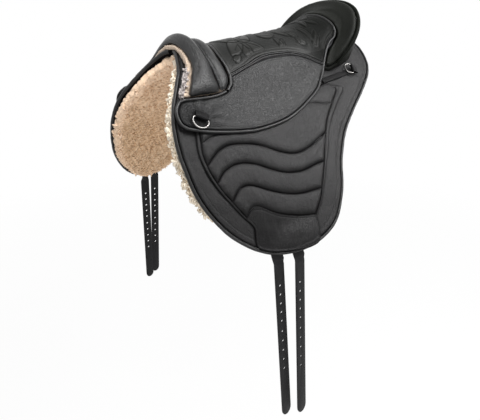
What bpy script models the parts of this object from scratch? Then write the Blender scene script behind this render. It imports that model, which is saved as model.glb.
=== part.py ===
# Treeless riding saddle in black leather on fleece panels, modelled in metres.
# +Z is up, the pommel faces -Y and the horse's left, the near side, is +X.
# The origin is the top of the horse's back under the middle of the seat.
#
# Every soft layer is laid on one surface, the horse's back. A place on it is
# given by y along the spine, by s, the distance down the side from the spine,
# and by its rise, the height of the layer above the back.

import math

import bmesh
import bpy
from mathutils import Matrix, Vector
from mathutils.geometry import intersect_line_line_2d

NAME = "treeless_saddle"
SIDES = {"near": 1, "off": -1}

# The horse's back: an arc over the spine, then a flatter arc down the side
BACK_STATIONS = (-0.250, 0.000, 0.290)
SPINE_HEIGHT = (0.017, 0.000, 0.026)
SPINE_RADIUS = (0.056, 0.073, 0.110)
SHOULDER_ANGLE = (53.0, 42.0, 30.0)
SIDE_RADIUS = (0.880, 1.575, 0.800)

# Point of the arch over the withers, where the two halves meet
RIDGE = 0.0075
RIDGE_START = -0.1415
RIDGE_RUN = 0.0405
RIDGE_REACH = 0.040

# Layers and clearances
GAP = 0.0003
SEAM_GAP = 0.0006
FLEECE = 0.0180
FLAP = 0.0062
QUILT_EDGE = 0.0014
QUILT_CROWN = 0.0034
GUARD = 0.0020
COVER = 0.0038
PIPING_RADIUS = 0.0028
EDGE_GAP = 0.0005
SEAT_WELT_RADIUS = 0.0021
LEATHER_MARGIN = 2 * PIPING_RADIUS + EDGE_GAP

FLEECE_GAP = 0.0008
ARCH_GAP = 0.0010
FLAP_UNDER = FLEECE + FLEECE_GAP
FLAP_TOP = FLAP_UNDER + FLAP
ON_FLAP = FLAP_TOP + GAP
ON_ARCH = FLAP_TOP + ARCH_GAP

# Flap: outer edge of its piping, from the spine at the front round to the rear
FLAP_OUTLINE = (
    (-0.188, 0.000), (-0.206, 0.035), (-0.225, 0.068), (-0.252, 0.120), (-0.263, 0.168),
    (-0.262, 0.218), (-0.249, 0.277), (-0.212, 0.340), (-0.158, 0.383), (-0.092, 0.395),
    (-0.033, 0.378), (0.010, 0.332), (0.041, 0.281), (0.083, 0.235), (0.131, 0.202),
    (0.195, 0.166), (0.241, 0.138), (0.272, 0.107), (0.296, 0.058), (0.306, 0.000))
FLAP_CORNERS = ((-0.212, 0.340), (-0.020, 0.367))
FLEECE_MARGIN = 0.004
PANEL_COLUMNS = 12
PANEL_ROWS = 11
PANEL_BUNCH = 1.3

# Quilted insert: four sewn waves between two borders
QUILT_FRONT = (
    (-0.221, 0.150), (-0.229, 0.185), (-0.225, 0.217), (-0.218, 0.249), (-0.205, 0.283),
    (-0.186, 0.311), (-0.180, 0.322))
QUILT_REAR = (
    (0.150, 0.139), (0.139, 0.152), (0.103, 0.172), (0.067, 0.199), (0.024, 0.233),
    (-0.014, 0.289), (-0.043, 0.332), (-0.066, 0.354))
QUILT_TOP = (
    (-0.221, 0.150), (-0.110, 0.156), (0.010, 0.148), (0.070, 0.124), (0.118, 0.119),
    (0.150, 0.139))
WAVE_ENDS = ((0.214, 0.233), (0.247, 0.271), (0.282, 0.311), (0.311, 0.349))
WAVE_HEIGHTS = (0.021, 0.021, 0.020, 0.010)
WAVE_SKEW = 1.15
CHANNEL_ROWS = 2
QUILT_COLUMNS = 11

# Leather patch over the quilt's foot, where the girth straps are sewn
GUARD_FOOT = ((-0.181, 0.357), (-0.150, 0.369), (-0.112, 0.377), (-0.076, 0.379))

# Girth straps
STRAP_WIDTH = 0.022
STRAP_THICK = 0.0030
STRAP_PLACES = {"front": -0.146, "rear": -0.110}
STRAP_LEAN = 5.5
STRAP_SPLAY = {"front": 0.9, "rear": -0.9}
STRAP_SEWN = 0.052
STRAP_EXIT = 0.0075
STRAP_TIP_Z = -0.622
STRAP_TIP_LENGTH = 0.014
POCKET_CLEARANCE = 0.0004
HINGE_GAP = 0.0005
HOLE_RADIUS = 0.0025
HOLE_COUNT = 10
HOLE_TO_TIP = 0.106
HOLE_PITCH_LOWER = 0.0200
HOLE_PITCH_UPPER = 0.0178
HOLE_PITCH_MIDDLE = 0.0220

# Seat: height of its centre line above the origin, front to rear
SEAT_CENTRE = (
    (-0.112, 0.050), (-0.052, 0.058), (0.000, 0.065), (0.051, 0.071), (0.100, 0.079),
    (0.150, 0.093), (0.187, 0.108), (0.251, 0.140))
SKIRT_RISE = 0.034
SEAT_SPREAD = ((-0.115, 0.170), (0.010, 0.140), (0.120, 0.108), (0.250, 0.118))
SEAT_FRONT = ((-0.113, 0.000), (-0.122, 0.018), (-0.126, 0.034), (-0.124, 0.052), (-0.124, 0.070))
SEAT_ROWS = 6
SEAM_COLUMNS = 11
TONGUE_COLUMNS = 4
JOCKEY_ROWS = 3
SEAM_END = SEAT_ROWS + TONGUE_COLUMNS
SEAM_LINE = ((-0.124, 0.070), (-0.050, 0.050), (0.009, 0.048), (0.063, 0.055), (0.131, 0.082))
TONGUE_END = ((0.189, 0.000), (0.192, 0.018), (0.194, 0.034), (0.190, 0.044))
TONGUE_SIDE = ((0.190, 0.044), (0.178, 0.050), (0.162, 0.053), (0.148, 0.060), (0.131, 0.082))

# Jockeys: the upper part lies on the seat foam, the skirt lifts at the fold
JOCKEY_FRONT = ((-0.124, 0.070), (-0.129, 0.083), (-0.140, 0.094))
FOLD_LINE = ((-0.140, 0.094), (-0.120, 0.103), (-0.060, 0.109), (0.030, 0.112), (0.098, 0.114))
JOCKEY_REAR = ((0.131, 0.082), (0.119, 0.096), (0.098, 0.114))
SKIRT_TOP = ((-0.140, 0.094), (-0.163, 0.100), (-0.191, 0.102), (-0.225, 0.1025), (-0.240, 0.106))
SKIRT_TIP = ((-0.240, 0.106), (-0.250, 0.119), (-0.253, 0.133), (-0.250, 0.147), (-0.240, 0.156))
SKIRT_EDGE = (
    (-0.240, 0.156), (-0.201, 0.166), (-0.147, 0.175), (-0.105, 0.179), (-0.045, 0.175),
    (-0.004, 0.165), (0.035, 0.150), (0.074, 0.132), (0.098, 0.114))
SKIRT_TOP_COLUMNS = 4
SKIRT_ROWS = 5
SKIRT_TAIL = 0.006
SKIRT_AXIS_RISE = 0.0405
SKIRT_AXIS = ((-0.160, 0.0975), (0.090, 0.1125))

# Pommel: lining, stiffening plate and two padded rolls over the withers
ROLL_CLEARANCE = 0.0020
LINING_SIDE = 0.0095
LINING_CREST = 0.0060
LINING_CREST_REACH = 0.060
LINING_FRONT = ((-0.1905, 0.000), (-0.1925, 0.035), (-0.2090, 0.070), (-0.2290, 0.1005))
ROLL_FRONT = ((-0.1895, 0.000), (-0.1885, 0.040), (-0.2030, 0.070), (-0.2205, 0.1000))
ROLL_SEAM = ((-0.154, 0.000), (-0.158, 0.037), (-0.156, 0.060), (-0.157, 0.0960))
ROLL_FOOT = 0.0915
ARCH_PIECES = 20
PLATE = 0.0020
PLATE_PIECES = 14
ROLL_HEIGHT = 0.0172
ROLL_TAPER = 0.38
ROLL_LIP = 0.30
ROLL_LIP_END = 0.95
ROLL_TAPER_REACH = 0.099

# Cantle: a crescent pad on a raised block, both inside a tilted oval rim
RIM_TOP = (0.251, 0.140)
RIM_TILT = 53.5
RIM_HALF_WIDTH = 0.124
RIM_HALF_HEIGHT = 0.106
RIM_SQUARENESS = 2.2
RIM_END_ANGLE = 121.0
CANTLE_FOOT = ((0.270, 0.000), (0.262, 0.045), (0.240, 0.074), (0.200, 0.086), (0.147, 0.092))
PAD = 0.012
PAD_DISH = 0.005
PAD_LEAN = 35.0
PAD_SPREAD = 0.35
PAD_SHARE = 0.7
RIM_GAP = 0.0014
RIM_TRIM = 0.008
CANTLE_GAP = 0.0015
PAD_CLEARANCE = 0.0012
CANTLE_BULGE = 0.010

# Rings: closed wire with one straight bar, held by a sewn leather keeper
RING_WIRE = 0.0019
RING_WIDTH = 0.0300
RING_REACH = 0.0215
KEEPER_HOLE = RING_WIRE + 0.0004
KEEPER_LENGTH = 0.0120
KEEPER_WALL = 0.0016
KEEPER_SEAT = 0.0005
KEEPER_END_GAP = 0.0012
FRONT_RING = (-0.2115, 0.1395)
FRONT_RING_TURN = 32.0
REAR_RING = (0.2060, 0.1100)
REAR_RING_TURN = 112.0
REAR_STRAP_WIDTH = 0.013
REAR_STRAP = 0.0022
REAR_STRAP_START = (0.108, 0.1110)

# Webbing over the back that carries a slotted ring for each stirrup leather
STIRRUP_RING = (-0.072, 0.1180)
STIRRUP_WEB_WIDTH = 0.025
STIRRUP_WEB = 0.0016
STIRRUP_BAR = 0.0050
STIRRUP_TAB = 0.0040
STIRRUP_SLOT = (0.0280, 0.0170)
STIRRUP_RING_THICK = 0.0016

FOAM_SIDE = 0.097
FOAM_SETBACK = 0.0035
FOAM_GAP = 0.0022
FOAM_EDGE = 0.0030

COLOURS = {
    "leather": ((0.022, 0.022, 0.023), 0.45, 0.0),
    "tooled": ((0.018, 0.020, 0.018), 0.50, 0.0),
    "fleece": ((0.620, 0.450, 0.300), 0.95, 0.0),
    "felt": ((0.620, 0.500, 0.390), 0.90, 0.0),
    "foam": ((0.450, 0.430, 0.380), 0.90, 0.0),
    "steel": ((0.620, 0.620, 0.630), 0.22, 1.0),
    "webbing": ((0.030, 0.030, 0.032), 0.70, 0.0),
}


# Scene and materials

def clear_scene():
    for item in list(bpy.data.objects):
        bpy.data.objects.remove(item, do_unlink=True)


def new_collection(name):
    collection = bpy.data.collections.new(name)
    bpy.context.scene.collection.children.link(collection)
    return collection


def finish(item, name, finish_name, collection):
    colour, roughness, metallic = COLOURS[finish_name]
    material = bpy.data.materials.new(name)
    material.use_nodes = True
    shader = material.node_tree.nodes["Principled BSDF"]
    shader.inputs["Base Color"].default_value = (*colour, 1.0)
    shader.inputs["Roughness"].default_value = roughness
    shader.inputs["Metallic"].default_value = metallic
    item.data.materials.clear()
    item.data.materials.append(material)
    item.data.shade_smooth()
    item.data.set_sharp_from_angle(angle=math.radians(40))
    collection.objects.link(item)
    return item


def object_from_bmesh(bm, name):
    """A closed mesh in triangles, so that no twisted face can bulge into a neighbour"""
    bmesh.ops.triangulate(bm, faces=bm.faces, quad_method="SHORT_EDGE")
    bmesh.ops.recalc_face_normals(bm, faces=bm.faces)
    if bm.calc_volume(signed=True) < 0:
        bmesh.ops.reverse_faces(bm, faces=bm.faces)
    mesh = bpy.data.meshes.new(name)
    bm.to_mesh(mesh)
    bm.free()
    return bpy.data.objects.new(name, mesh)


# The horse's back and the seat above it

def along_back(values, y):
    first, middle, last = BACK_STATIONS
    return (values[0] * (y - middle) * (y - last) / ((first - middle) * (first - last))
            + values[1] * (y - first) * (y - last) / ((middle - first) * (middle - last))
            + values[2] * (y - first) * (y - middle) / ((last - first) * (last - middle)))


def ridge(y, s):
    """How far the layers are lifted into the point of the arch"""
    ahead = min(1.0, max(0.0, (RIDGE_START - y) / RIDGE_RUN))
    return RIDGE * ahead * math.cos(min(1.0, abs(s) / RIDGE_REACH) * math.pi / 2) ** 2


def lay(y, s, rise):
    """The point at a rise above the back; s is negative on the off side"""
    rise += ridge(y, s)
    top = along_back(SPINE_HEIGHT, y)
    radius = along_back(SPINE_RADIUS, y)
    shoulder = math.radians(along_back(SHOULDER_ANGLE, y))
    side_radius = 1 / along_back([1 / value for value in SIDE_RADIUS], y)
    reach = abs(s)
    if reach < radius * shoulder:
        angle = reach / radius
        x = radius * math.sin(angle)
        z = top - radius * (1 - math.cos(angle))
    else:
        angle = shoulder + (reach - radius * shoulder) / side_radius
        x = radius * math.sin(shoulder) + side_radius * (math.sin(angle) - math.sin(shoulder))
        z = (top - radius * (1 - math.cos(shoulder))
             - side_radius * (math.cos(shoulder) - math.cos(angle)))
    return Vector((math.copysign(x + rise * math.sin(angle), s), y, z + rise * math.cos(angle)))


def lookup(table, place):
    """Straight-line reading of a table of pairs, held flat past its ends"""
    if place <= table[0][0]:
        return table[0][1]
    for (start, low), (end, high) in zip(table, table[1:]):
        if place <= end:
            return low + (high - low) * (place - start) / (end - start)
    return table[-1][1]


def seat_rise(y, s):
    """Rise of the leather's outer face on the seat and its skirts"""
    crest = lookup(SEAT_CENTRE, y) - along_back(SPINE_HEIGHT, y)
    share = min(1.0, abs(s) / lookup(SEAT_SPREAD, y))
    return SKIRT_RISE + (crest - SKIRT_RISE) * math.cos(share * math.pi / 2) ** 2


def lining_top(y, s):
    crest = math.cos(min(1.0, abs(s) / LINING_CREST_REACH) * math.pi / 2) ** 2
    return ON_FLAP + LINING_SIDE + LINING_CREST * crest - ridge(y, s)


# Lines on the back, as lists of (y, s)

def smooth_line(points, pieces):
    """A smooth curve through the points, cut into pieces of equal length"""
    knots = [Vector(point) for point in points]
    knots = [2 * knots[0] - knots[1]] + knots + [2 * knots[-1] - knots[-2]]
    fine = []
    for a, b, c, d in zip(knots, knots[1:], knots[2:], knots[3:]):
        for step in range(12):
            t = step / 12
            fine.append(0.5 * (2 * b + (c - a) * t + (2 * a - 5 * b + 4 * c - d) * t ** 2
                               + (3 * b - a - 3 * c + d) * t ** 3))
    fine.append(knots[-2])
    return even_line(fine, pieces)


def even_line(line, pieces, bunch=1.0):
    """The line in pieces of equal length, or shorter at its start with bunch over 1"""
    reached = [0.0]
    for start, end in zip(line, line[1:]):
        reached.append(reached[-1] + (end - start).length)
    result = []
    index = 0
    for piece in range(pieces + 1):
        wanted = reached[-1] * (piece / pieces) ** bunch
        while index < len(line) - 2 and reached[index + 1] < wanted:
            index += 1
        span = reached[index + 1] - reached[index]
        share = (wanted - reached[index]) / span if span else 0.0
        result.append(line[index].lerp(line[index + 1], min(1.0, share)))
    return result


def offset(line, distance):
    """The line moved sideways, to the left as it runs, with its corners kept"""
    normals = [Vector((start.y - end.y, end.x - start.x)).normalized()
               for start, end in zip(line, line[1:])]
    moved = []
    for index, point in enumerate(line):
        before = normals[max(0, index - 1)]
        after = normals[min(len(normals) - 1, index)]
        middle = (before + after).normalized()
        moved.append(point + middle * (distance / max(0.5, middle.dot(before))))
    if abs(line[0].y) < 1e-9:
        moved[0].y = 0.0
    return moved


def nearest(line, place):
    return min(range(len(line)), key=lambda index: (line[index] - Vector(place)).length)


def stretch(line, start, end):
    """The part of a line between two of its points"""
    first = nearest(line, start)
    last = nearest(line, end)
    return [start] + line[first + 1:last] + [end]


def crossing(line, other):
    """The place where two lines meet, the second drawn on a little at both ends"""
    longer = [other[0] + (other[0] - other[1]).normalized() * 0.01] + list(other)
    longer.append(other[-1] + (other[-1] - other[-2]).normalized() * 0.01)
    for one, two in zip(line, line[1:]):
        for three, four in zip(longer, longer[1:]):
            place = intersect_line_line_2d(one, two, three, four)
            if place:
                return place
    raise ValueError("the lines do not meet")


def border_at(line, y):
    for one, two in zip(line, line[1:]):
        if (one.x - y) * (two.x - y) <= 0:
            return one.lerp(two, (y - one.x) / (two.x - one.x))
    return line[-1].copy()


def both_sides(half):
    """A line drawn from the spine, with its mirror image on the off side first"""
    return [Vector((point.x, -point.y)) for point in reversed(half[1:])] + list(half)


def patch(top, bottom, first, last):
    """Grid between four edge lines; top and bottom run from first to last"""
    columns = len(top) - 1
    rows = len(first) - 1
    grid = []
    for i in range(columns + 1):
        u = i / columns
        column = []
        for j in range(rows + 1):
            v = j / rows
            straight = top[i].lerp(bottom[i], v) + first[j].lerp(last[j], u)
            corners = top[0].lerp(top[-1], u).lerp(bottom[0].lerp(bottom[-1], u), v)
            column.append(straight - corners)
        grid.append(column)
    return grid


# Solids

def layer(name, finish_name, grid, under, over, collection, side=1):
    """A sheet with thickness: a flat grid is extruded once and both faces are laid"""
    columns = len(grid) - 1
    rows = len(grid[0]) - 1
    bm = bmesh.new()
    bmesh.ops.create_grid(bm, x_segments=columns, y_segments=rows, size=0.5)
    bmesh.ops.triangulate(bm, faces=bm.faces, quad_method="FIXED")
    lower = list(bm.verts)
    grown = bmesh.ops.extrude_face_region(bm, geom=bm.faces[:])["geom"]
    upper = [item for item in grown if isinstance(item, bmesh.types.BMVert)]
    for verts, rise in ((lower, under), (upper, over)):
        for vert in verts:
            i = round((vert.co.x + 0.5) * columns)
            j = round((vert.co.y + 0.5) * rows)
            y, s = grid[i][j]
            height = rise(y, s, i / columns, j / rows)
            vert.co = lay(y, s * side, height)
    return finish(object_from_bmesh(bm, name), name, finish_name, collection)


def flat(value):
    return lambda y, s, u, v: value


def loft(name, finish_name, sections, collection):
    """Closed sections joined in turn, with a face on each end"""
    bm = bmesh.new()
    rings = [[bm.verts.new(point) for point in section] for section in sections]
    for one, two in zip(rings, rings[1:]):
        for index, vert in enumerate(one):
            after = (index + 1) % len(one)
            bm.faces.new((vert, one[after], two[after], two[index]))
    bm.faces.new(rings[0])
    bm.faces.new(rings[-1])
    return finish(object_from_bmesh(bm, name), name, finish_name, collection)


def mesh_from_curve(item, name):
    """The curve's solid as a mesh of its own, with its caps welded"""
    scene_collection = bpy.context.scene.collection
    scene_collection.objects.link(item)
    bpy.context.view_layer.update()
    evaluated = item.evaluated_get(bpy.context.evaluated_depsgraph_get())
    mesh = bpy.data.meshes.new_from_object(evaluated)
    place = item.matrix_world.copy()
    bpy.data.objects.remove(item, do_unlink=True)
    bm = bmesh.new()
    bm.from_mesh(mesh)
    bpy.data.meshes.remove(mesh)
    bmesh.ops.remove_doubles(bm, verts=bm.verts, dist=0.00001)
    bm.transform(place)
    return object_from_bmesh(bm, name)


def tube(name, finish_name, points, radius, collection, closed=False, resolution=1):
    curve = bpy.data.curves.new(name, "CURVE")
    curve.dimensions = "3D"
    curve.bevel_depth = radius
    curve.bevel_resolution = resolution
    curve.use_fill_caps = True
    spline = curve.splines.new("POLY")
    spline.points.add(len(points) - 1)
    for knot, point in zip(spline.points, points):
        knot.co = (*point, 1.0)
    spline.use_cyclic_u = closed
    item = mesh_from_curve(bpy.data.objects.new(name, curve), name)
    return finish(item, name, finish_name, collection)


def plate(name, finish_name, outlines, thickness, place, collection):
    """A flat outline with holes, extruded by half its thickness each way"""
    curve = bpy.data.curves.new(name, "CURVE")
    curve.dimensions = "2D"
    curve.fill_mode = "BOTH"
    curve.extrude = thickness / 2
    for outline in outlines:
        spline = curve.splines.new("POLY")
        spline.points.add(len(outline) - 1)
        for knot, point in zip(spline.points, outline):
            knot.co = (*point, 0.0, 1.0)
        spline.use_cyclic_u = True
    item = bpy.data.objects.new(name, curve)
    item.matrix_world = place
    return finish(mesh_from_curve(item, name), name, finish_name, collection)


def circle(radius, sides, centre=(0.0, 0.0)):
    turn = 2 * math.pi / sides
    return [(centre[0] + radius * math.cos((step + 0.5) * turn),
             centre[1] + radius * math.sin((step + 0.5) * turn)) for step in range(sides)]


def cut(target, cutter_grid, under, over, side, cutters):
    """Take the space of a laid sheet out of a solid"""
    cutter = layer(target.name + "_pocket", "steel", cutter_grid, under, over, cutters, side)
    cutter.hide_render = True
    cutter.display_type = "WIRE"
    modifier = target.modifiers.new("pocket", "BOOLEAN")
    modifier.operation = "DIFFERENCE"
    modifier.solver = "EXACT"
    modifier.object = cutter


# Panels, flaps and what is sewn on them

def flap_edges(margin):
    """Front, lower and rear edge of a panel, set in from the flap's outline"""
    outline = smooth_line(FLAP_OUTLINE, 200)
    front_corner, rear_corner = [nearest(outline, corner) for corner in FLAP_CORNERS]
    front = even_line(outline[:front_corner + 1], PANEL_ROWS, PANEL_BUNCH)
    foot = even_line(outline[front_corner:rear_corner + 1], PANEL_COLUMNS)
    rear = even_line(list(reversed(outline[rear_corner:])), PANEL_ROWS, PANEL_BUNCH)
    loop = offset(front + foot[1:] + list(reversed(rear))[1:], -margin)
    loop[0].y = SEAM_GAP
    loop[-1].y = SEAM_GAP
    end = PANEL_ROWS + PANEL_COLUMNS
    return loop[:PANEL_ROWS + 1], loop[PANEL_ROWS:end + 1], list(reversed(loop[end:]))


def panel_grid(margin):
    front, foot, rear = flap_edges(margin)
    return patch(even_line([front[0], rear[0]], PANEL_COLUMNS), foot, front, rear)


def make_panels(side_name, collection, cutters):
    side = SIDES[side_name]
    fleece = layer("fleece_panel_" + side_name, "fleece",
                   panel_grid(LEATHER_MARGIN + FLEECE_MARGIN), flat(0.0), flat(FLEECE),
                   collection, side)
    for place in STRAP_PLACES.values():
        wide = STRAP_WIDTH / 2 + POCKET_CLEARANCE
        cut(fleece, strap_grid(place, wide, POCKET_CLEARANCE, 0.03),
            flat(FLEECE - GAP - STRAP_THICK - POCKET_CLEARANCE), flat(FLEECE + STRAP_THICK),
            side, cutters)
    layer("flap_" + side_name, "leather", panel_grid(LEATHER_MARGIN), flat(FLAP_UNDER),
          flat(FLAP_TOP), collection, side)
    front, foot, rear = flap_edges(PIPING_RADIUS)
    edge = front + foot[1:] + list(reversed(rear))[1:]
    edge[0] = step_along(edge, 0, 1, PIPING_RADIUS)
    edge[-1] = step_along(edge, -1, -1, PIPING_RADIUS)
    middle = (FLAP_UNDER + FLAP_TOP) / 2
    tube("flap_piping_" + side_name, "leather", [lay(y, s * side, middle) for y, s in edge],
         PIPING_RADIUS, collection)


def border_point(border, s):
    for one, two in zip(border, border[1:]):
        if (one.y - s) * (two.y - s) <= 0:
            return one.lerp(two, (s - one.y) / (two.y - one.y))
    return border[-1].copy()


def wave_line(index, front, rear, shares):
    """One sewn wave: a hump towards the front and a dip towards the rear"""
    start = border_point(front, WAVE_ENDS[index][0])
    end = border_point(rear, WAVE_ENDS[index][1])
    line = []
    for share in shares:
        point = start.lerp(end, share)
        point.y -= WAVE_HEIGHTS[index] * math.sin(2 * math.pi * share ** WAVE_SKEW)
        line.append(point)
    return line


def quilt_grid():
    """Columns across the insert; rows are its top edge, the waves and rows between"""
    shares = [0.0, 0.015]
    shares += [0.05 + 0.90 * step / QUILT_COLUMNS for step in range(QUILT_COLUMNS + 1)]
    shares += [0.985, 1.0]
    front = smooth_line(QUILT_FRONT, 60)
    rear = smooth_line(QUILT_REAR, 60)
    top_line = smooth_line(QUILT_TOP, 200)
    top = [top_line[round(share * 200)] for share in shares]
    lines = [top] + [wave_line(index, front, rear, shares) for index in range(len(WAVE_ENDS))]
    rows = []
    crowns = []
    for index, (one, two) in enumerate(zip(lines, lines[1:])):
        steps = CHANNEL_ROWS + 1 + (index == 0)
        for step in range(steps):
            rows.append([a.lerp(b, step / steps) for a, b in zip(one, two)])
            crowns.append(math.sin(math.pi * step / steps) ** 0.5)
    rows.append(lines[-1])
    crowns.append(0.0)
    grid = [[row[column] for row in rows] for column in range(len(shares))]
    return grid, crowns


def make_quilt(side_name, collection):
    grid, crowns = quilt_grid()
    columns = len(grid) - 1

    def over(y, s, u, v):
        edge = 0.0 if round(u * columns) in (0, columns) else 1.0
        crown = crowns[round(v * (len(crowns) - 1))] * edge
        return ON_FLAP + QUILT_EDGE + (QUILT_CROWN - QUILT_EDGE) * crown

    layer("quilted_panel_" + side_name, "leather", grid, flat(ON_FLAP), over, collection,
          SIDES[side_name])


def make_guard(side_name, collection):
    shares = [step / 8 for step in range(9)]
    front = smooth_line(QUILT_FRONT, 60)
    rear = smooth_line(QUILT_REAR, 60)
    top = [point + Vector((0.0, 3 * GAP)) for point in wave_line(3, front, rear, shares)]
    foot = smooth_line(GUARD_FOOT, 8)
    grid = patch(top, foot, even_line([top[0], foot[0]], 3), even_line([top[-1], foot[-1]], 3))
    layer("billet_guard_" + side_name, "leather", grid, flat(ON_FLAP), flat(ON_FLAP + GUARD),
          collection, SIDES[side_name])


# Girth straps

def flap_foot(y):
    """Distance down the side to the flap's lower edge at a place along it"""
    outline = smooth_line(FLAP_OUTLINE, 200)
    return max(point.y for point in outline if abs(point.x - y) < 0.006)


def strap_grid(place, half_width, before, after):
    start = flap_foot(place) - STRAP_SEWN - before
    end = flap_foot(place) + after
    return [[Vector((place + across * half_width, start + (end - start) * row / 4))
             for row in range(5)] for across in (-1, 1)]


def strap_outline(length):
    half = STRAP_WIDTH / 2
    tip = [(half * math.cos(angle), -length + STRAP_TIP_LENGTH * (1 - math.sin(angle)))
           for angle in (math.pi * step / 8 for step in range(9))]
    return [(-half, 0.0), (half, 0.0)] + tip


def hole_places(length):
    """Heights of the holes below the hinge, from the lowest up"""
    middle = HOLE_COUNT // 2
    pitches = [HOLE_PITCH_LOWER] * (middle - 1) + [HOLE_PITCH_MIDDLE]
    pitches += [HOLE_PITCH_UPPER] * (HOLE_COUNT - middle - 1)
    places = [HOLE_TO_TIP - length]
    for pitch in pitches:
        places.append(places[-1] + pitch)
    return places


def strap_frame(end_name, side):
    """The strap's own frame: X across it, Y up it, Z out of its face, at its hinge"""
    place = STRAP_PLACES[end_name]
    rise = FLEECE - GAP - STRAP_THICK / 2
    end = flap_foot(place) + STRAP_EXIT
    sewn_end = lay(place, side * end, rise)
    run = (sewn_end - lay(place, side * (end - 0.01), rise)).normalized()
    across = Vector((0, side, 0))
    outward = Vector((side, 0, 0))
    turn = Matrix((across, (0, 0, 1), outward)).transposed()
    lean = Matrix.Rotation(math.radians(-STRAP_LEAN), 3, across)
    splay = Matrix.Rotation(math.radians(STRAP_SPLAY[end_name] * side), 3, outward)
    centre = sewn_end + run * (STRAP_THICK / 2 + HINGE_GAP)
    return Matrix.Translation(centre) @ (lean @ splay @ turn).to_4x4()


def make_strap(side_name, end_name, collection):
    side = SIDES[side_name]
    low = FLEECE - GAP - STRAP_THICK
    layer("billet_root_{}_{}".format(side_name, end_name), "leather",
          strap_grid(STRAP_PLACES[end_name], STRAP_WIDTH / 2, 0.0, STRAP_EXIT), flat(low),
          flat(low + STRAP_THICK), collection, side)
    frame = strap_frame(end_name, side)
    length = frame.translation.z - STRAP_TIP_Z
    outlines = [strap_outline(length)]
    outlines += [circle(HOLE_RADIUS, 6, (0.0, height)) for height in hole_places(length)]
    item = plate("billet_{}_{}".format(side_name, end_name), "leather", outlines, STRAP_THICK,
                 frame, collection)
    round_top(item, frame)
    move_origin(item, frame.translation)


def round_top(item, frame):
    """A half-round end about the hinge line, so that the strap turns close to its root"""
    bm = bmesh.new()
    bm.from_mesh(item.data)
    bm.transform(frame.inverted())
    end = [face for face in bm.faces if min(vert.co.y for vert in face.verts) > -0.00001]
    for angle in (math.radians(45), math.radians(80)):
        grown = bmesh.ops.extrude_face_region(bm, geom=end)["geom"]
        bmesh.ops.delete(bm, geom=end, context="FACES")
        end = [piece for piece in grown if isinstance(piece, bmesh.types.BMFace)]
        for vert in {vert for face in end for vert in face.verts}:
            vert.co.y = STRAP_THICK / 2 * math.sin(angle)
            vert.co.z = math.copysign(STRAP_THICK / 2 * math.cos(angle), vert.co.z)
    bmesh.ops.triangulate(bm, faces=bm.faces)
    bm.transform(frame)
    bm.to_mesh(item.data)
    bm.free()


def move_origin(item, centre):
    item.data.transform(Matrix.Translation(-Vector(centre)))
    item.location = centre


# Pommel

def arch(half):
    """A line across the withers from the off side to the near side"""
    return even_line(both_sides(half), ARCH_PIECES)


def strip(one, two, columns):
    return [[a.lerp(b, column / columns) for a, b in zip(one, two)]
            for column in range(columns + 1)]


def make_pommel(collection):
    lining_front = arch(smooth_line(LINING_FRONT, 60))
    front = arch(smooth_line(ROLL_FRONT, 60))
    seam = arch(smooth_line(ROLL_SEAM, 60))
    seat_front = offset(smooth_line(SEAT_FRONT + JOCKEY_FRONT[1:], 60), ROLL_CLEARANCE)
    rear = arch([point for point in seat_front if point.y < ROLL_FOOT])

    def height(s):
        return ROLL_HEIGHT * (1 - ROLL_TAPER * abs(s) / ROLL_TAPER_REACH)

    def end_shape(v):
        return 1 - max(0.0, abs(2 * v - 1) - 0.9) * 4

    def plate_under(y, s, u, v):
        return lining_top(y, s) + GAP

    def plate_over(y, s, u, v):
        return lining_top(y, s) + GAP + PLATE

    def roll_under(y, s, u, v):
        return lining_top(y, s) + PLATE + ARCH_GAP

    def front_under(y, s, u, v):
        return lining_top(y, s) + SEAM_GAP + (PLATE + ARCH_GAP - SEAM_GAP) * min(1.0, 6 * u)

    def front_over(y, s, u, v):
        down = min(1.0, abs(s) / ROLL_TAPER_REACH) ** 2
        lip = ROLL_LIP + (ROLL_LIP_END - ROLL_LIP) * down
        shape = lip + (0.50 - lip) * u + (0.75 - 0.25 * down) * math.sin(math.pi * u)
        return roll_under(y, s, u, v) + height(s) * shape * end_shape(v)

    def rear_over(y, s, u, v):
        shape = 0.50 - 0.32 * u + 0.42 * math.sin(math.pi * u)
        return roll_under(y, s, u, v) + height(s) * shape * end_shape(v)

    def lining_over(y, s, u, v):
        return lining_top(y, s)

    lining = strip(lining_front, seam, 4) + strip(seam, rear, 2)[1:]
    layer("pommel_lining", "felt", lining, flat(ON_ARCH), lining_over, collection)
    edge = (ARCH_PIECES - PLATE_PIECES) // 2
    stiffener = [column[edge:ARCH_PIECES - edge + 1] for column in strip(front, seam, 4)[1:4]]
    layer("gullet_plate", "steel", stiffener, plate_under, plate_over, collection)
    split = [point - Vector((SEAM_GAP, 0.0)) for point in seam]
    layer("pommel_front_roll", "leather", strip(front, split, 6), front_under, front_over,
          collection)
    layer("pommel_back_roll", "leather", strip(seam, rear, 4), roll_under, rear_over, collection)


# Seat and jockeys

def seat_outlines():
    """Outer edge of the seat's piping, front and rear, as halves from the spine"""
    front = smooth_line(SEAT_FRONT, SEAT_ROWS) + smooth_line(JOCKEY_FRONT, JOCKEY_ROWS)[1:]
    rear = smooth_line(TONGUE_END, SEAT_ROWS) + smooth_line(TONGUE_SIDE, TONGUE_COLUMNS)[1:]
    rear += smooth_line(JOCKEY_REAR, JOCKEY_ROWS)[1:]
    return front, rear


def seat_edges():
    """The leather's edge inside the piping, front and rear, and the seam between them"""
    front, rear = seat_outlines()
    front = offset(front, -LEATHER_MARGIN)
    rear = offset(rear, LEATHER_MARGIN)
    seam = smooth_line(SEAM_LINE, SEAM_COLUMNS)
    seam[0] = front[SEAT_ROWS].copy()
    seam[-1] = rear[SEAM_END].copy()
    return front, rear, seam


def step_along(line, index, step, distance):
    return line[index] + (line[index + step] - line[index]).normalized() * distance


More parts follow.
